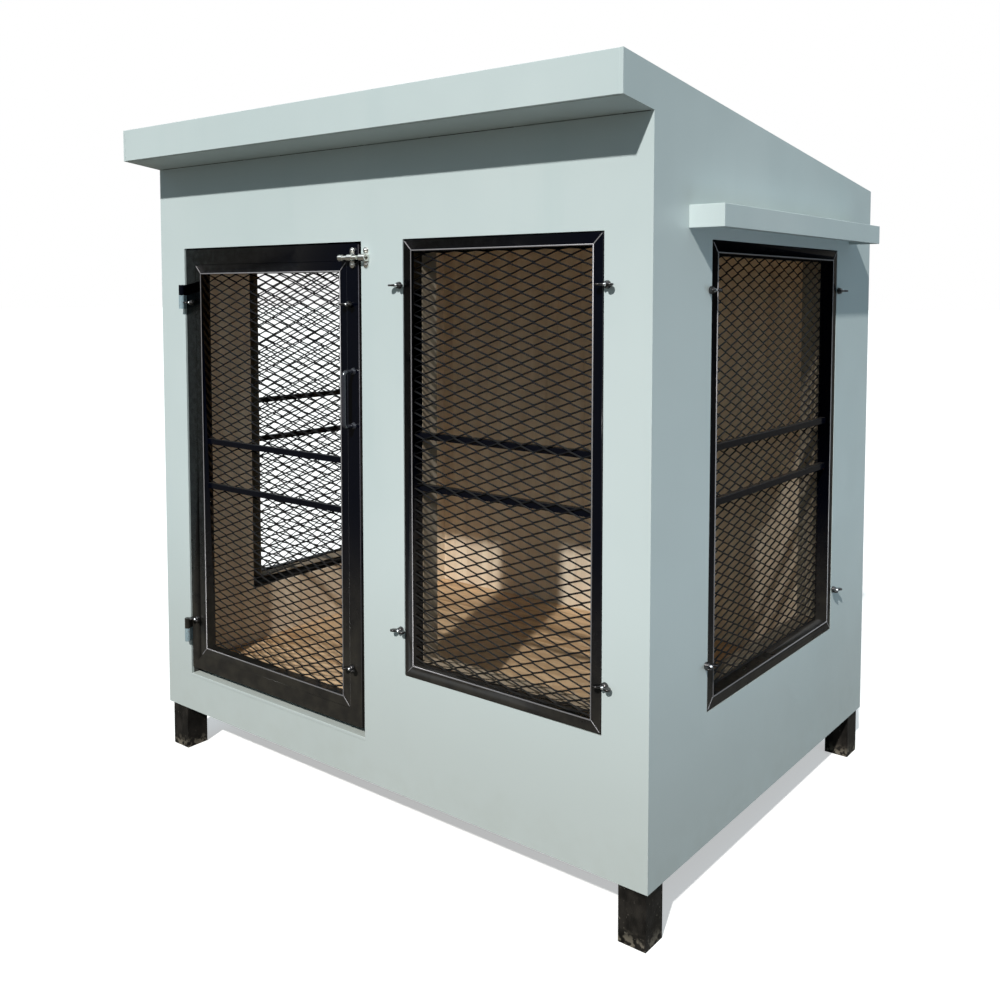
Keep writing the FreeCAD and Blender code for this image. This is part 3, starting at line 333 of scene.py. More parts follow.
MATERIALS = {
    "wall_paint": wall_paint(),
    # hinge_paint: the wall paint darkened and blued as painted shade for the hinge pintles; its rusty chips are
    # real wear.
    "hinge_paint": wall_paint("hinge_paint", wear=0.8, painted_shade=(0.496, 0.589, 0.651)),
    "frame_enamel": black_enamel(
        "frame_enamel",
        clean=(0.0010, 0.0016, 0.0048),
        dusty=(0.030, 0.027, 0.022),
        roughness=0.14,
        dust_low=0.24,
        dust_high=0.62,
        shine=0.22,
    ),
    "mesh_enamel": black_enamel(
        "mesh_enamel",
        clean=(0.0020, 0.0020, 0.0025),
        dusty=(0.007, 0.006, 0.005),
        roughness=0.34,
        dust_low=0.25,
        dust_high=0.90,
        shine=0.10,
    ),
    # The handle's clean colour is lifted to a bluish dark grey: painted reflection, for the grey line of light
    # along the grip.
    "handle_enamel": black_enamel(
        "handle_enamel",
        clean=(0.022, 0.024, 0.034),
        dusty=(0.03, 0.03, 0.03),
        roughness=0.10,
        dust_low=0.1,
        dust_high=0.3,
        shine=1.0,
    ),
    # arris_highlight: lighter grey enamel, a painted highlight for the light caught along the leaf's rounded
    # corner.
    "arris_highlight": black_enamel(
        "arris_highlight",
        clean=(0.085, 0.08, 0.095),
        dusty=(0.10, 0.095, 0.09),
        roughness=0.3,
        dust_low=0.2,
        dust_high=0.5,
    ),
    "leg_enamel": leg_enamel(),
    "lining_board": lining_board(),
    # shaded_reveal_board: the lining board darkened as painted shade, for the window reveals that lie in shade.
    "shaded_reveal_board": lining_board("shaded_reveal_board", painted_shade=(0.36, 0.3456, 0.324)),
    "floor_wood": floor_wood(),
    "frame_steel": frame_steel(),
    "stainless": bright_metal("stainless", (0.88, 0.86, 0.80), 0.09, stretch=(0.05, 1, 1)),
    "zinc": bright_metal("zinc", (0.78, 0.79, 0.80), 0.20),
    # nut_zinc is dark: painted shade, for the wing nuts' bodies, which sit in shade.
    "nut_zinc": bright_metal("nut_zinc", (0.09, 0.085, 0.085), 0.24),
    # pale_highlight_zinc: pale grey, a painted highlight on the frames' inner edges, and on the mitre welds partly
    # weld metal.
    "pale_highlight_zinc": bright_metal("pale_highlight_zinc", (0.29, 0.28, 0.29), 0.36, metallic=0.45),
}

# ---- carried-over CAD nodes -------------------------------------------------------------

FLAT_ANGLE = math.radians(1)
SHARP_ANGLE = math.radians(40)
EDGE_STEPS = 2
EDGE_RADIUS = {
    "wall_paint": 0.8 * MM,
    "hinge_paint": 0.5 * MM,
    "frame_enamel": 2.0 * MM,
    "leg_enamel": 2.5 * MM,
    "lining_board": 0.5 * MM,
    "floor_wood": 1.0 * MM,
    "frame_steel": 2.5 * MM,
    "stainless": 0.7 * MM,
    "zinc": 0.35 * MM,
}
SLIM_RADIUS = {
    "front_window_bars": 1.0 * MM,
    "right_window_bars": 1.0 * MM,
    "left_window_bars": 1.0 * MM,
    "door_bars": 1.0 * MM,
    "hinge_sleeves": 0.5 * MM,
    "door_handle": 0.6 * MM,
}


def rounded(thing, width):
    """Rounds a CAD node's sharp edges, as modifiers, so that its mesh stays as packed."""
    weld = thing.modifiers.new("weld", "WELD")
    weld.merge_threshold = TINY
    merge = thing.modifiers.new("merge_flats", "DECIMATE")
    merge.decimate_type = "DISSOLVE"
    merge.angle_limit = FLAT_ANGLE
    bevel = thing.modifiers.new("round_edges", "BEVEL")
    bevel.width = width
    bevel.segments = EDGE_STEPS
    bevel.limit_method = "ANGLE"
    bevel.angle_limit = SHARP_ANGLE
    bevel.harden_normals = True
    even = thing.modifiers.new("even_normals", "WEIGHTED_NORMAL")
    even.keep_sharp = True
    for face in thing.data.polygons:
        face.use_smooth = True


for part in frame["record"]["subparts"]:
    thing = nodes[part["node"]]
    slot_name = part["material_slot"]
    look = "handle_enamel" if thing.name == "door_handle" else slot_name
    thing.data.materials.clear()
    thing.data.materials.append(MATERIALS[look])
    if slot_name in EDGE_RADIUS:
        rounded(thing, SLIM_RADIUS.get(thing.name, EDGE_RADIUS[slot_name]))

# ---- shapes shared by the new pieces ----------------------------------------------------

BEAD_STEPS = 6


def in_scene(name, data):
    """An object of a mesh, light or camera, linked to the scene."""
    made = bpy.data.objects.new(name, data)
    bpy.context.scene.collection.objects.link(made)
    return made


def mesh_object(name, points, faces):
    mesh = bpy.data.meshes.new(name)
    mesh.from_pydata(points, [], faces)
    return in_scene(name, mesh)


def piece(name, points, faces, slot_name, body, smooth=False, look=None):
    """A mesh piece in the row frame that rides on a body. It has its slot's material, or
    the look of another one."""
    made = mesh_object(name, points, faces)
    mesh = made.data
    outward = bmesh.new()
    outward.from_mesh(mesh)
    bmesh.ops.recalc_face_normals(outward, faces=outward.faces)
    outward.to_mesh(mesh)
    outward.free()
    mesh.materials.append(MATERIALS[look or slot_name])
    for face in mesh.polygons:
        face.use_smooth = smooth
    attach(made, body)
    return made


def tubes(lines, section, closed=False):
    """Points and faces of bars that follow lines. Each line is a list of places, each with
    the two directions that its section's corners are measured along. A closed line joins its
    last place to its first, and any other has its ends capped."""
    points, faces = [], []
    sides = len(section)
    for line in lines:
        first = len(points)
        for centre, wide, deep in line:
            points.extend(centre + a * wide + b * deep for a, b in section)
        spans = len(line) if closed else len(line) - 1
        for i in range(spans):
            low = first + i * sides
            high = first + (i + 1) % len(line) * sides
            for k in range(sides):
                after = (k + 1) % sides
                faces.append((low + k, low + after, high + after, high + k))
        if closed:
            continue
        faces.append(tuple(first + k for k in reversed(range(sides))))
        last = first + (len(line) - 1) * sides
        faces.append(tuple(last + k for k in range(sides)))
    return points, faces


def joined(shells):
    """The points and faces of several shells, as one."""
    points, faces = [], []
    for more_points, more_faces in shells:
        first = len(points)
        points.extend(more_points)
        faces.extend(tuple(first + i for i in face) for face in more_faces)
    return points, faces


def clamp(value, low, high):
    return max(low, min(high, value))


def half_round(radius):
    """Section of a bead that lies on a face: a half circle, its flat side at zero depth."""
    turns = [math.pi * i / BEAD_STEPS for i in range(BEAD_STEPS + 1)]
    return [(radius * math.cos(turn), -radius * math.sin(turn)) for turn in turns]


# ---- expanded metal ---------------------------------------------------------------------

LONG_PITCH = {
    "front_window": 47.3 * MM,
    "door": 47.3 * MM,
    "right_window": 42.4 * MM,
    "left_window": 42.4 * MM,
}
SHORT_PITCH = 18.9 * MM
STRAND_WIDTH = 2.7 * MM
STRAND_THICKNESS = 1.5 * MM
STRAND_TILT = math.radians(35)
STRAND_RISE, STRAND_LEAN = math.cos(STRAND_TILT), math.sin(STRAND_TILT)
KNUCKLE = 1.3 * MM
SPARE = 2


def cut_to(line, width):
    """The part of a strand between 0 and width across."""
    kept = []
    for before, after in zip(line, line[1:]):
        if after[0] <= 0 or before[0] >= width:
            continue
        for point in (before, after):
            a = clamp(point[0], 0, width)
            share = (a - before[0]) / (after[0] - before[0])
            at_cut = tuple(p + share * (q - p) for p, q in zip(before, after))
            if not kept or at_cut[0] > kept[-1][0] + TINY:
                kept.append(at_cut)
    return kept


def strand(row, base, pitch, width, tall):
    """Places along one strand: across the panel, up it, and in from the mesh's middle."""
    columns = int(width / pitch) + SPARE
    line = []
    for half in range(-columns, columns + 1):
        upper = (half + row) % 2 == 0
        level = base + (SHORT_PITCH / 2 if upper else 0)
        offset = -STRAND_WIDTH / 2 if upper else STRAND_WIDTH / 2
        for end in (-KNUCKLE, KNUCKLE):
            a = width / 2 + half * pitch / 2 + end
            line.append((a, level + offset * STRAND_RISE, offset * STRAND_LEAN))
    bottom, top = STRAND_WIDTH / 2, tall - STRAND_WIDTH / 2
    return [(clamp(a, 0, width), clamp(u, bottom, top), d) for a, u, d in cut_to(line, width)]


def expanded_metal(panel):
    """Raised expanded metal. Each strand zigzags between two rows of knuckles, tilted like a
    louvre, and lies against its neighbour along each knuckle."""
    _, inward, across, body, outside = PANELS[panel]
    low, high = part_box(f"{panel}_mesh")
    width = abs((high - low).dot(across))
    tall = high.z - low.z
    reach = STRAND_WIDTH * STRAND_LEAN + STRAND_THICKNESS / 2 * STRAND_RISE
    front, back = sorted(corner.dot(inward) for corner in (low, high))
    depth = back - reach if outside else front + reach
    start = min(corner.dot(across) for corner in (low, high))
    wide = UP * STRAND_RISE + inward * STRAND_LEAN
    deep = inward * STRAND_RISE - UP * STRAND_LEAN
    rows = int(tall / SHORT_PITCH) + SPARE
    lines = []
    for row in range(-rows, rows):
        base = tall / 2 + row * SHORT_PITCH / 2
        if base + SHORT_PITCH / 2 <= 0 or base >= tall:
            continue
        line = []
        for a, u, d in strand(row, base, LONG_PITCH[panel], width, tall):
            place = across * (start + a) + inward * (depth + d) + UP * (low.z + u)
            line.append((place, wide, deep))
        lines.append(line)
    half_wide, half_thick = STRAND_WIDTH / 2, STRAND_THICKNESS / 2
    section = [
        (-half_wide, -half_thick),
        (half_wide, -half_thick),
        (half_wide, half_thick),
        (-half_wide, half_thick),
    ]
    made = piece(f"{panel}_expanded_metal", *tubes(lines, section), "mesh_enamel", body)
    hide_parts(f"{panel}_mesh")


# ---- beads, welds and boards round the panels -------------------------------------------


def panel_corners(panel, inset):
    """The four corners of a panel's front face, inset from its edges."""
    node_name, inward, across, _, _ = PANELS[panel]
    low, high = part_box(node_name)
    face = min(corner.dot(inward) for corner in (low, high))
    left, right = sorted(corner.dot(across) for corner in (low, high))
    left, right = left + inset, right - inset
    bottom, top = low.z + inset, high.z - inset
    places = ((left, bottom), (right, bottom), (right, top), (left, top))
    return [across * a + inward * face + UP * z for a, z in places]


def ring_round(corners, inward):
    """A closed line round a panel, mitred at its corners: wide points away from the middle."""
    middle = sum(corners, Vector()) / 4
    ring = []
    for i, corner in enumerate(corners):
        before = (corner - corners[i - 1]).normalized()
        after = (corners[(i + 1) % 4] - corner).normalized()
        wide = before - after
        if wide.dot(corner - middle) < 0:
            wide = -wide
        ring.append((corner, wide, inward))
    return ring


BEAD_RADIUS = 1.2 * MM


def edge_beads(panel):
    """A thin pale bead round the inner edge of a panel's frame: a painted highlight."""
    _, inward, _, body, _ = PANELS[panel]
    ring = ring_round(panel_corners(panel, FRAME_FACE - BEAD_RADIUS), inward)
    shape = tubes([ring], half_round(BEAD_RADIUS), closed=True)
    piece(f"{panel}_edge_bead", *shape, "zinc", body, smooth=True, look="pale_highlight_zinc")


WELD_RADIUS = 0.9 * MM
WELD_HEIGHT = 0.55
WELD_RIPPLE = 0.35 * MM
RIPPLE_TURN = 2.1
WELD_STEP = 0.8 * MM
WELD_TIP = 0.25
WELD_START = 0.12 * FRAME_FACE


def mitre_welds(panel):
    """Ground weld lines on the mitres of a panel's frame, with the ripples left in."""
    _, inward, _, body, _ = PANELS[panel]
    outer = panel_corners(panel, WELD_START)
    inner = panel_corners(panel, FRAME_FACE)
    lines = []
    for start, end in zip(outer, inner):
        along = (end - start).normalized()
        wide = along.cross(inward)
        count = int((end - start).length / WELD_STEP)
        line = []
        for i in range(count + 1):
            swell = 1 + (WELD_RIPPLE / WELD_RADIUS) * math.sin(RIPPLE_TURN * i)
            swell *= clamp(min(i, count - i) / 2, WELD_TIP, 1)
            place = start + along * (i * WELD_STEP)
            line.append((place, wide * swell, inward * WELD_HEIGHT * swell))
        lines.append(line)
    # Their pale grey is partly weld metal and partly a painted highlight along the mitres.
    shape = tubes(lines, half_round(WELD_RADIUS))
    piece(f"{panel}_mitre_welds", *shape, "zinc", body, smooth=True, look="pale_highlight_zinc")


REVEAL_LININGS = {
    "front_window": "front_lining",
    "right_window": "right_lining",
    "left_window": "left_lining",
}
REVEAL_BOARD = 1.2 * MM
REVEAL_GAP = 0.5 * MM


def reveal_boards(panel):
    """Thin boards round a window's opening, from behind its panel to the inner lining."""
    node_name, inward, _, body, _ = PANELS[panel]
    ring = ring_round(panel_corners(panel, FRAME_FACE), inward)
    front, back = sorted(corner.dot(inward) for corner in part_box(node_name))
    start = back - front + REVEAL_GAP
    end = max(corner.dot(inward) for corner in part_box(REVEAL_LININGS[panel])) - front
    section = [(0, start), (-REVEAL_BOARD, start), (-REVEAL_BOARD, end), (0, end)]
    shape = tubes([ring], section, closed=True)
    # The boards take the lining board darkened as painted shade.
    piece(f"{panel}_reveal_boards", *shape, "lining_board", body, look="shaded_reveal_board")


for panel in PANELS:
    expanded_metal(panel)
    edge_beads(panel)
    mitre_welds(panel)
for panel in REVEAL_LININGS:
    reveal_boards(panel)

# ---- studs ------------------------------------------------------------------------------

STUD_RADIUS = 3 * MM
STUD_LENGTH = 13 * MM
STUD_ROOT = 4 * MM
STUD_SIDES = 18
THREAD_DEPTH = 0.35 * MM
THREAD_PITCH = 1 * MM
DOME_STEPS = 5
DOME_SHARE = 0.8

# Every stud node: the panels whose nuts sit on its studs, its body, and how far each stud
# runs on behind the place of its nut's joint.
STUD_GROUPS = {
    "window_studs": (("front_window", "right_window", "left_window"), "house", STUD_ROOT),
    "door_studs": (("door",), "door", 0),
}


def stud_profile(length):
    """Heights and radii up a stud: the thread's crests and roots, then a domed end."""
    profile = []
    straight = length - STUD_RADIUS * DOME_SHARE
    for i in range(int(straight / (THREAD_PITCH / 2)) + 1):
        radius = STUD_RADIUS - (THREAD_DEPTH if i % 2 else 0)
        profile.append((i * THREAD_PITCH / 2, radius))
    dome_base, _ = profile[-1]
    for i in range(1, DOME_STEPS):
        turn = math.pi / 2 * i / DOME_STEPS
        rise = (length - dome_base) * math.sin(turn)
        profile.append((dome_base + rise, (STUD_RADIUS - THREAD_DEPTH) * math.cos(turn)))
    return profile


def threaded_stud(foot, outward, length):
    """Points and faces of a threaded stud with a domed end."""
    across = outward.orthogonal().normalized()
    other = outward.cross(across)
    profile = stud_profile(length)
    points, faces = [], []
    for height, radius in profile:
        for k in range(STUD_SIDES):
            turn = 2 * math.pi * k / STUD_SIDES
            rim = across * math.cos(turn) + other * math.sin(turn)
            points.append(foot + outward * height + rim * radius)
    for i in range(len(profile) - 1):
        low = i * STUD_SIDES
        for k in range(STUD_SIDES):
            after = (k + 1) % STUD_SIDES
            faces.append((low + k, low + after, low + STUD_SIDES + after, low + STUD_SIDES + k))
    faces.append(tuple(reversed(range(STUD_SIDES))))
    tip = len(points)
    points.append(foot + outward * length)
    ring = tip - STUD_SIDES
    faces.extend((ring + k, ring + (k + 1) % STUD_SIDES, tip) for k in range(STUD_SIDES))
    return points, faces


def nut_joints(group):
    return [j for j in frame["joints"] if "_nut_" in j["name"] and j["name"].startswith(group)]


for node_name, (groups, body, root) in STUD_GROUPS.items():
    shells = []
    for group in groups:
        for joint in nut_joints(group):
            outward = Vector(joint["axis"])
            foot = Vector(joint["pos_m"]) - outward * root
            shells.append(threaded_stud(foot, outward, STUD_LENGTH + root))
    studs = piece(f"{node_name}_threaded", *joined(shells), "zinc", body, smooth=True)
    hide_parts(node_name)

# ---- painted highlight down the corner of the door leaf ---------------------------------

ARRIS_RADIUS = 0.9 * MM
ARRIS_DEPTH = 1.0 * MM
ARRIS_END = 2 * MM


def leaf_arris():
    """A painted highlight: a grey line down the front corner of the leaf's tube, on its lock side."""
    low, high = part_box("door_frame")
    wide = (RIGHT + BACK).normalized()
    inward = (BACK - RIGHT).normalized()
    line = []
    for z in (low.z + ARRIS_END, high.z - ARRIS_END):
        corner = Vector((high.x, low.y, z))
        line.append((corner + inward * ARRIS_DEPTH, wide, inward))
    shape = tubes([line], half_round(ARRIS_RADIUS))
    piece("door_lock_arris", *shape, "frame_enamel", "door", smooth=True, look="arris_highlight")


leaf_arris()

# ---- solids that are cast into one ------------------------------------------------------

CASTING_SHARP = math.radians(50)
CASTING_FACES_KEPT = 0.22
TURNED_SIDES = 32


def turned_shell(profile):
    """Points and faces of a solid turned about Z. The profile gives heights and radii."""
    sides = TURNED_SIDES
    points = []
    for height, radius in profile:
        for k in range(sides):
            turn = 2 * math.pi * k / sides
            points.append(Vector((radius * math.cos(turn), radius * math.sin(turn), height)))
    faces = [tuple(reversed(range(sides)))]
    for i in range(len(profile) - 1):
        for k in range(sides):
            low, after = i * sides + k, i * sides + (k + 1) % sides
            faces.append((low, after, after + sides, low + sides))
    last = (len(profile) - 1) * sides
    faces.append(tuple(last + k for k in range(sides)))
    return points, faces


def block_shell(low, high):
    """Points and faces of a block between two corners."""
    (ax, ay, az), (bx, by, bz) = low, high
    points = []
    for z in (az, bz):
        points.extend(Vector((x, y, z)) for x, y in ((ax, ay), (bx, ay), (bx, by), (ax, by)))
    faces = [(3, 2, 1, 0), (4, 5, 6, 7), (0, 1, 5, 4), (1, 2, 6, 5), (2, 3, 7, 6), (3, 0, 4, 7)]
    return points, faces


def placed(shell, matrix):
    """A shell moved to its place."""
    points, faces = shell
    return [matrix @ point for point in points], faces


def cast(name, shells, drill_shell, voxel, rounds, look):
    """One casting: shells grown together, with softened corners and one bore."""
    blank = mesh_object(f"{name}_blank", *joined(shells))
    remesh = blank.modifiers.new("grow_together", "REMESH")
    remesh.mode = "VOXEL"
    remesh.voxel_size = voxel
    smooth = blank.modifiers.new("soften", "SMOOTH")
    smooth.iterations = rounds
    thin = blank.modifiers.new("thin", "DECIMATE")
    thin.ratio = CASTING_FACES_KEPT
    drill = mesh_object(f"{name}_drill", *drill_shell)
    bore = blank.modifiers.new("bore", "BOOLEAN")
    bore.object = drill
    bore.operation = "DIFFERENCE"
    bpy.context.view_layer.update()
    evaluated = blank.evaluated_get(bpy.context.evaluated_depsgraph_get())
    mesh = bpy.data.meshes.new_from_object(evaluated)
    for scratch in (blank, drill):
        bpy.data.objects.remove(scratch)
    mesh.name = name
    mesh.materials.clear()
    mesh.materials.append(MATERIALS[look])
    for face in mesh.polygons:
        face.use_smooth = True
    mesh.set_sharp_from_angle(angle=CASTING_SHARP)
    return mesh


# ---- wing nuts --------------------------------------------------------------------------

NUT_REAR = 0.8 * MM
NUT_BORE = 3.06 * MM
NUT_VOXEL = 0.42 * MM
NUT_SOFTENING = 5
HUB_BASE, HUB_NOSE, HUB_HEIGHT = 6.5 * MM, 5.0 * MM, 7.0 * MM
HUB_CHAMFER = 0.7 * MM
HUB_SLOPE = 0.15
HUB_PROFILE = [
    (0, HUB_BASE - HUB_CHAMFER),
    (HUB_CHAMFER, HUB_BASE),
    (HUB_HEIGHT - HUB_CHAMFER, HUB_NOSE + HUB_SLOPE * HUB_CHAMFER),
    (HUB_HEIGHT, HUB_NOSE - HUB_CHAMFER),
]
WING_CENTRE, WING_RADIUS, WING_HALF = 10.5 * MM, 5.4 * MM, 1.65 * MM
ROOT_CENTRE, ROOT_RADIUS, ROOT_HALF = 3.8 * MM, 2.9 * MM, 2.5 * MM
WING_SIDES = 28


def wing_shell(sign):
    """Points and faces of a wing: a flat ear, hulled from its root to its round end, and
    thicker at the root."""
    rim = []
    for centre, radius in ((ROOT_CENTRE, ROOT_RADIUS), (WING_CENTRE, WING_RADIUS)):
        for k in range(WING_SIDES):
            turn = 2 * math.pi * k / WING_SIDES
            rim.append(Vector((centre + radius * math.cos(turn), centre + radius * math.sin(turn))))
    outline = [rim[i] for i in geometry.convex_hull_2d(rim)]
    count = len(outline)
    points = []
    for side in (-1, 1):
        for place in outline:
            share = clamp((place.length - ROOT_CENTRE) / WING_CENTRE, 0, 1)
            half = ROOT_HALF + share * (WING_HALF - ROOT_HALF)
            points.append(Vector((sign * place.x, side * half, place.y)))
    faces = [tuple(range(count)), tuple(reversed(range(count, 2 * count)))]
    for k in range(count):
        after = (k + 1) % count
        faces.append((after, k, count + k, count + after))
    if sign < 0:
        faces = [tuple(reversed(face)) for face in faces]
    return points, faces


def cast_wing_nut():
    """A cast wing nut: its axis along +Z, its base at zero, its wings along X."""
    drill = turned_shell([(-HUB_HEIGHT, NUT_BORE), (3 * HUB_HEIGHT, NUT_BORE)])
    shells = [turned_shell(HUB_PROFILE), wing_shell(1), wing_shell(-1)]
    return cast("cast_wing_nut", shells, drill, NUT_VOXEL, NUT_SOFTENING, "nut_zinc")


nut_mesh = cast_wing_nut()
for joint in nut_joints(""):
    node_name = joint["child"]
    outward = Vector(joint["axis"])
    level = UP.cross(outward).normalized()
    turned = Matrix((level, outward.cross(level), outward)).transposed().to_4x4()
    nut = in_scene(f"{node_name}_cast", nut_mesh)
    nut.matrix_world = Matrix.Translation(Vector(joint["pos_m"]) + outward * NUT_REAR) @ turned
    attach(nut, node_name)
    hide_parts(node_name)

# ---- barrel bolt ------------------------------------------------------------------------

BOLT_LINE = Vector(next(j["pos_m"] for j in frame["joints"] if j["name"] == "bolt_slide"))
TO_FRONT = Matrix.Rotation(math.radians(90), 4, "X")
TO_RIGHT = Matrix.Rotation(math.radians(90), 4, "Y")
PLATE_THICKNESS = 2 * MM
PLATE_HALF_HEIGHT = 19 * MM
PLATE_FRONT = front_low.y - PLATE_THICKNESS
LOBE_RADIUS = 6.6 * MM
LOBE_TAPER = 0.5 * MM
LOBE_RISE = PLATE_HALF_HEIGHT - LOBE_RADIUS
WAIST = 5.2 * MM
WAIST_STEP = 0.3 * MM
HOUSING_RADIUS = 6.5 * MM
HOUSING_ROOT = 0.5 * MM
SCREW_INSET = 6 * MM
SCREW_HEAD, SCREW_DOME = 3.6 * MM, 2.4 * MM
SCREW_TURNS = (0, 0.35, 0.7, 1.0, 1.3)
DRILL_PAST = 5 * MM
PRESSED_VOXEL = 0.45 * MM
PRESSED_SOFTENING = 4


def plate_lobe(middle, back, side):
    """A round lobe of a plate and the dome-headed screw in it, over or under the rod."""
    deep = back - PLATE_FRONT
    place = Vector((middle, back, BOLT_LINE.z + side * LOBE_RISE))
    lobe = turned_shell([(0, LOBE_RADIUS), (deep, LOBE_RADIUS - LOBE_TAPER)])
    screw_place = Vector((middle, PLATE_FRONT, BOLT_LINE.z + side * (PLATE_HALF_HEIGHT - SCREW_INSET)))
    dome = [(SCREW_DOME * math.sin(a), SCREW_HEAD * math.cos(a)) for a in SCREW_TURNS]
    head = turned_shell([(-deep / 2, SCREW_HEAD)] + dome)
    return [
        placed(lobe, Matrix.Translation(place) @ TO_FRONT),
        placed(head, Matrix.Translation(screw_place) @ TO_FRONT),
    ]


def pressed_plate(name, body, node_names, middle, housing, bore, back):
    """A lobed plate with a round housing for the rod and two dome-headed screws."""
    shells = plate_lobe(middle, back, -1) + plate_lobe(middle, back, 1)
    low = (middle - WAIST, PLATE_FRONT + WAIST_STEP, BOLT_LINE.z - LOBE_RISE)
    shells.append(block_shell(low, (middle + WAIST, back, BOLT_LINE.z + LOBE_RISE)))

    start, end = housing
    on_rod = Matrix.Translation((start, BOLT_LINE.y, BOLT_LINE.z)) @ TO_RIGHT
    barrel = turned_shell([(0, HOUSING_RADIUS), (end - start, HOUSING_RADIUS)])
    shells.append(placed(barrel, on_rod))
    low = (start, BOLT_LINE.y, BOLT_LINE.z - HOUSING_RADIUS)
    high = (end, PLATE_FRONT + HOUSING_ROOT, BOLT_LINE.z + HOUSING_RADIUS)
    shells.append(block_shell(low, high))

    drill = turned_shell([(-DRILL_PAST, bore), (end - start + 2 * DRILL_PAST, bore)])
    drill = placed(drill, on_rod)
    mesh = cast(name, shells, drill, PRESSED_VOXEL, PRESSED_SOFTENING, "stainless")
    made = in_scene(name, mesh)
    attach(made, body)
    for node_name in node_names:
        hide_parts(node_name)


PLATE_HOUSING = (8 * MM, 20 * MM)
PLATE_BORE = 4.06 * MM
KEEPER_HOUSING = (3 * MM, 19 * MM)
KEEPER_BORE = 4.5 * MM

plate_low, plate_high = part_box("bolt_plate")
pressed_plate(
    "bolt_plate_pressed",
    "door",
    ["bolt_plate", "bolt_screws"],
    middle=(plate_low.x + plate_high.x) / 2,
    housing=[plate_low.x + end for end in PLATE_HOUSING],
    bore=PLATE_BORE,
    back=plate_high.y,
)
keeper_low, keeper_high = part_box("bolt_keeper")
pressed_plate(
    "bolt_keeper_pressed",
    "house",
    ["bolt_keeper"],
    middle=(keeper_low.x + keeper_high.x) / 2,
    housing=[keeper_low.x + end for end in KEEPER_HOUSING],
    bore=KEEPER_BORE,
    back=front_low.y,
)

# ---- stage: floor -----------------------------------------------------------------------

FLOOR_HALF = 60
FLOOR_SEEN = (0.80, 0.80, 0.79, 1)
FLOOR_GLOW = 0.45
FLOOR_DULL = (0.165, 0.15, 0.13, 1)
WHITE = (1, 1, 1)


def either(tree, share, first, second):
    """The first shader where share is 0, and the second where it is 1."""
    made = tree.nodes.new("ShaderNodeMixShader")
    tree.links.new(share, made.inputs[0])
    tree.links.new(first, made.inputs[1])
    tree.links.new(second, made.inputs[2])
    return made.outputs[0]


def pale_floor():
    """Pale to look at, and dull to light, so that the undersides stay in shade."""
    material = bpy.data.materials.new("pale_floor")
    material.use_nodes = True
    tree = material.node_tree
    tree.nodes.clear()
    path = tree.nodes.new("ShaderNodeLightPath")
    seen = tree.nodes.new("ShaderNodeBsdfDiffuse")
    seen.inputs["Color"].default_value = FLOOR_SEEN
    glow = tree.nodes.new("ShaderNodeEmission")
    glow.inputs["Color"].default_value = (*WHITE, 1)
    glow.inputs["Strength"].default_value = FLOOR_GLOW
    both = tree.nodes.new("ShaderNodeAddShader")
    tree.links.new(seen.outputs[0], both.inputs[0])
    tree.links.new(glow.outputs[0], both.inputs[1])
    dull = tree.nodes.new("ShaderNodeBsdfDiffuse")
    dull.inputs["Color"].default_value = FLOOR_DULL
    result = either(tree, path.outputs["Is Camera Ray"], dull.outputs[0], both.outputs[0])
    out = tree.nodes.new("ShaderNodeOutputMaterial")
    tree.links.new(result, out.inputs["Surface"])
    return material


floor_corners = [
    (-FLOOR_HALF, -FLOOR_HALF, 0),
    (FLOOR_HALF, -FLOOR_HALF, 0),
    (FLOOR_HALF, FLOOR_HALF, 0),
    (-FLOOR_HALF, FLOOR_HALF, 0),
]
floor = mesh_object("floor", floor_corners, [(0, 1, 2, 3)])
floor.data.materials.append(pale_floor())

# ---- stage: light -----------------------------------------------------------------------

SKY_COLOR, SKY_STRENGTH = (0.64, 0.88, 1.0), 0.29
MIRRORED_COLOR = (0.86, 0.94, 1.0)
# The height that a reflection looks towards, and how bright the surround is there.
MIRRORED_RISE = {"From Min": 0.18, "From Max": 0.62, "To Min": 0.13, "To Max": 1.7}


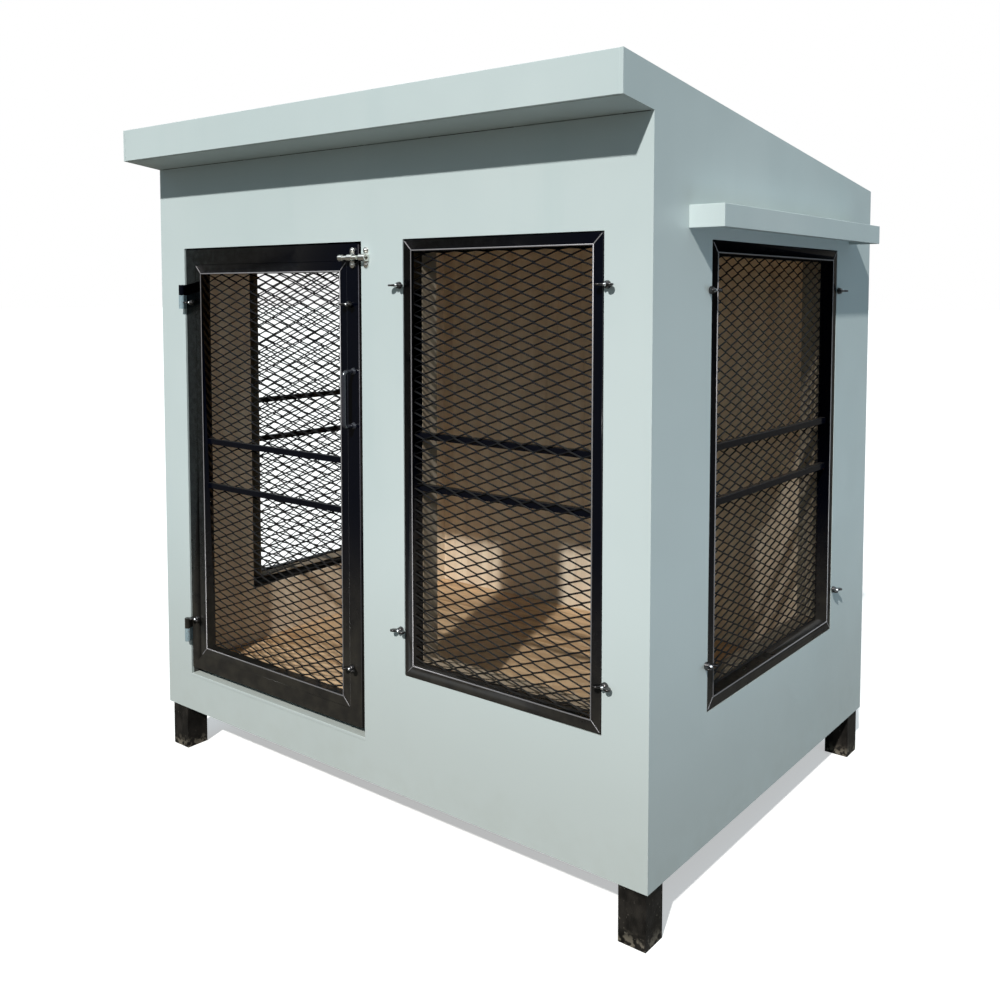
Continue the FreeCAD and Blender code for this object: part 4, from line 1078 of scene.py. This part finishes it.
def studio_world():
    """A white surround to look at and soft bluish light from all round. In reflections it is
    dim at eye level and bright overhead, so that upright enamel stays black and rounded
    tops catch the light."""
    world = bpy.data.worlds.new("studio")
    world.use_nodes = True
    tree = world.node_tree
    tree.nodes.clear()

    def background(color, strength):
        made = tree.nodes.new("ShaderNodeBackground")
        made.inputs["Color"].default_value = (*color, 1)
        made.inputs["Strength"].default_value = strength
        return made

    path = tree.nodes.new("ShaderNodeLightPath")
    direction = tree.nodes.new("ShaderNodeTexCoord").outputs["Generated"]
    height = tree.nodes.new("ShaderNodeSeparateXYZ")
    tree.links.new(direction, height.inputs["Vector"])
    strength = tree.nodes.new("ShaderNodeMapRange")
    strength.interpolation_type = "SMOOTHSTEP"
    tree.links.new(height.outputs["Z"], strength.inputs["Value"])
    for socket, value in MIRRORED_RISE.items():
        strength.inputs[socket].default_value = value
    lighting = background(SKY_COLOR, SKY_STRENGTH).outputs[0]
    mirrored = background(MIRRORED_COLOR, 1.0)
    tree.links.new(strength.outputs["Result"], mirrored.inputs["Strength"])
    seen = background(WHITE, 1.0).outputs[0]
    result = either(tree, path.outputs["Is Glossy Ray"], lighting, mirrored.outputs[0])
    result = either(tree, path.outputs["Is Camera Ray"], result, seen)
    out = tree.nodes.new("ShaderNodeOutputWorld")
    tree.links.new(result, out.inputs["Surface"])
    return world


def shining(light, color, energy, direction):
    """A light in the scene that shines in a direction."""
    light.color = color
    light.energy = energy
    made = in_scene(light.name, light)
    made.rotation_euler = direction.to_track_quat("-Z", "Y").to_euler()
    return made


SUN_DIRECTION = Vector((-0.355, 1.0, -0.86))
SUN_COLOR, SUN_ENERGY, SUN_ANGLE = (1.0, 0.985, 0.95), 3.8, math.radians(1.5)
FILL_PLACE, FILL_DIRECTION = (2.3, 0.3, 0.05), Vector((-1, -0.05, 0.06))
FILL_COLOR, FILL_ENERGY, FILL_SIZE = (0.60, 0.80, 1.0), 11, 1.3

bpy.context.scene.world = studio_world()

key = bpy.data.lights.new("key", "SUN")
key.angle = SUN_ANGLE
shining(key, SUN_COLOR, SUN_ENERGY, SUN_DIRECTION)

fill = bpy.data.lights.new("fill", "AREA")
fill.size = FILL_SIZE
fill_object = shining(fill, FILL_COLOR, FILL_ENERGY, FILL_DIRECTION)
fill_object.location = FILL_PLACE
fill_object.visible_camera = False

# ---- stage: camera ----------------------------------------------------------------------

CAMERA_PLACE = Vector((1.375, -1.709, 0.995))
CAMERA_YAW, CAMERA_PITCH, CAMERA_ROLL = 37.58, -3.44, 0.08
SENSOR_WIDTH, FOCAL_LENGTH = 36, 37.3
SHIFT_X, SHIFT_Y = -0.0231, -0.1447
NEAREST = 0.05

turn = Matrix.Rotation(math.radians(CAMERA_YAW), 4, "Z")
tilt = Matrix.Rotation(math.radians(90 + CAMERA_PITCH), 4, "X")
roll = Matrix.Rotation(math.radians(CAMERA_ROLL), 4, "Z")
lens = bpy.data.cameras.new("camera")
lens.sensor_width = SENSOR_WIDTH
lens.lens = FOCAL_LENGTH
lens.shift_x = SHIFT_X
lens.shift_y = SHIFT_Y
lens.clip_start = NEAREST
camera = in_scene("camera", lens)
camera.matrix_world = Matrix.Translation(CAMERA_PLACE) @ turn @ tilt @ roll
bpy.context.scene.camera = camera
bpy.context.scene.view_settings.view_transform = "Standard"
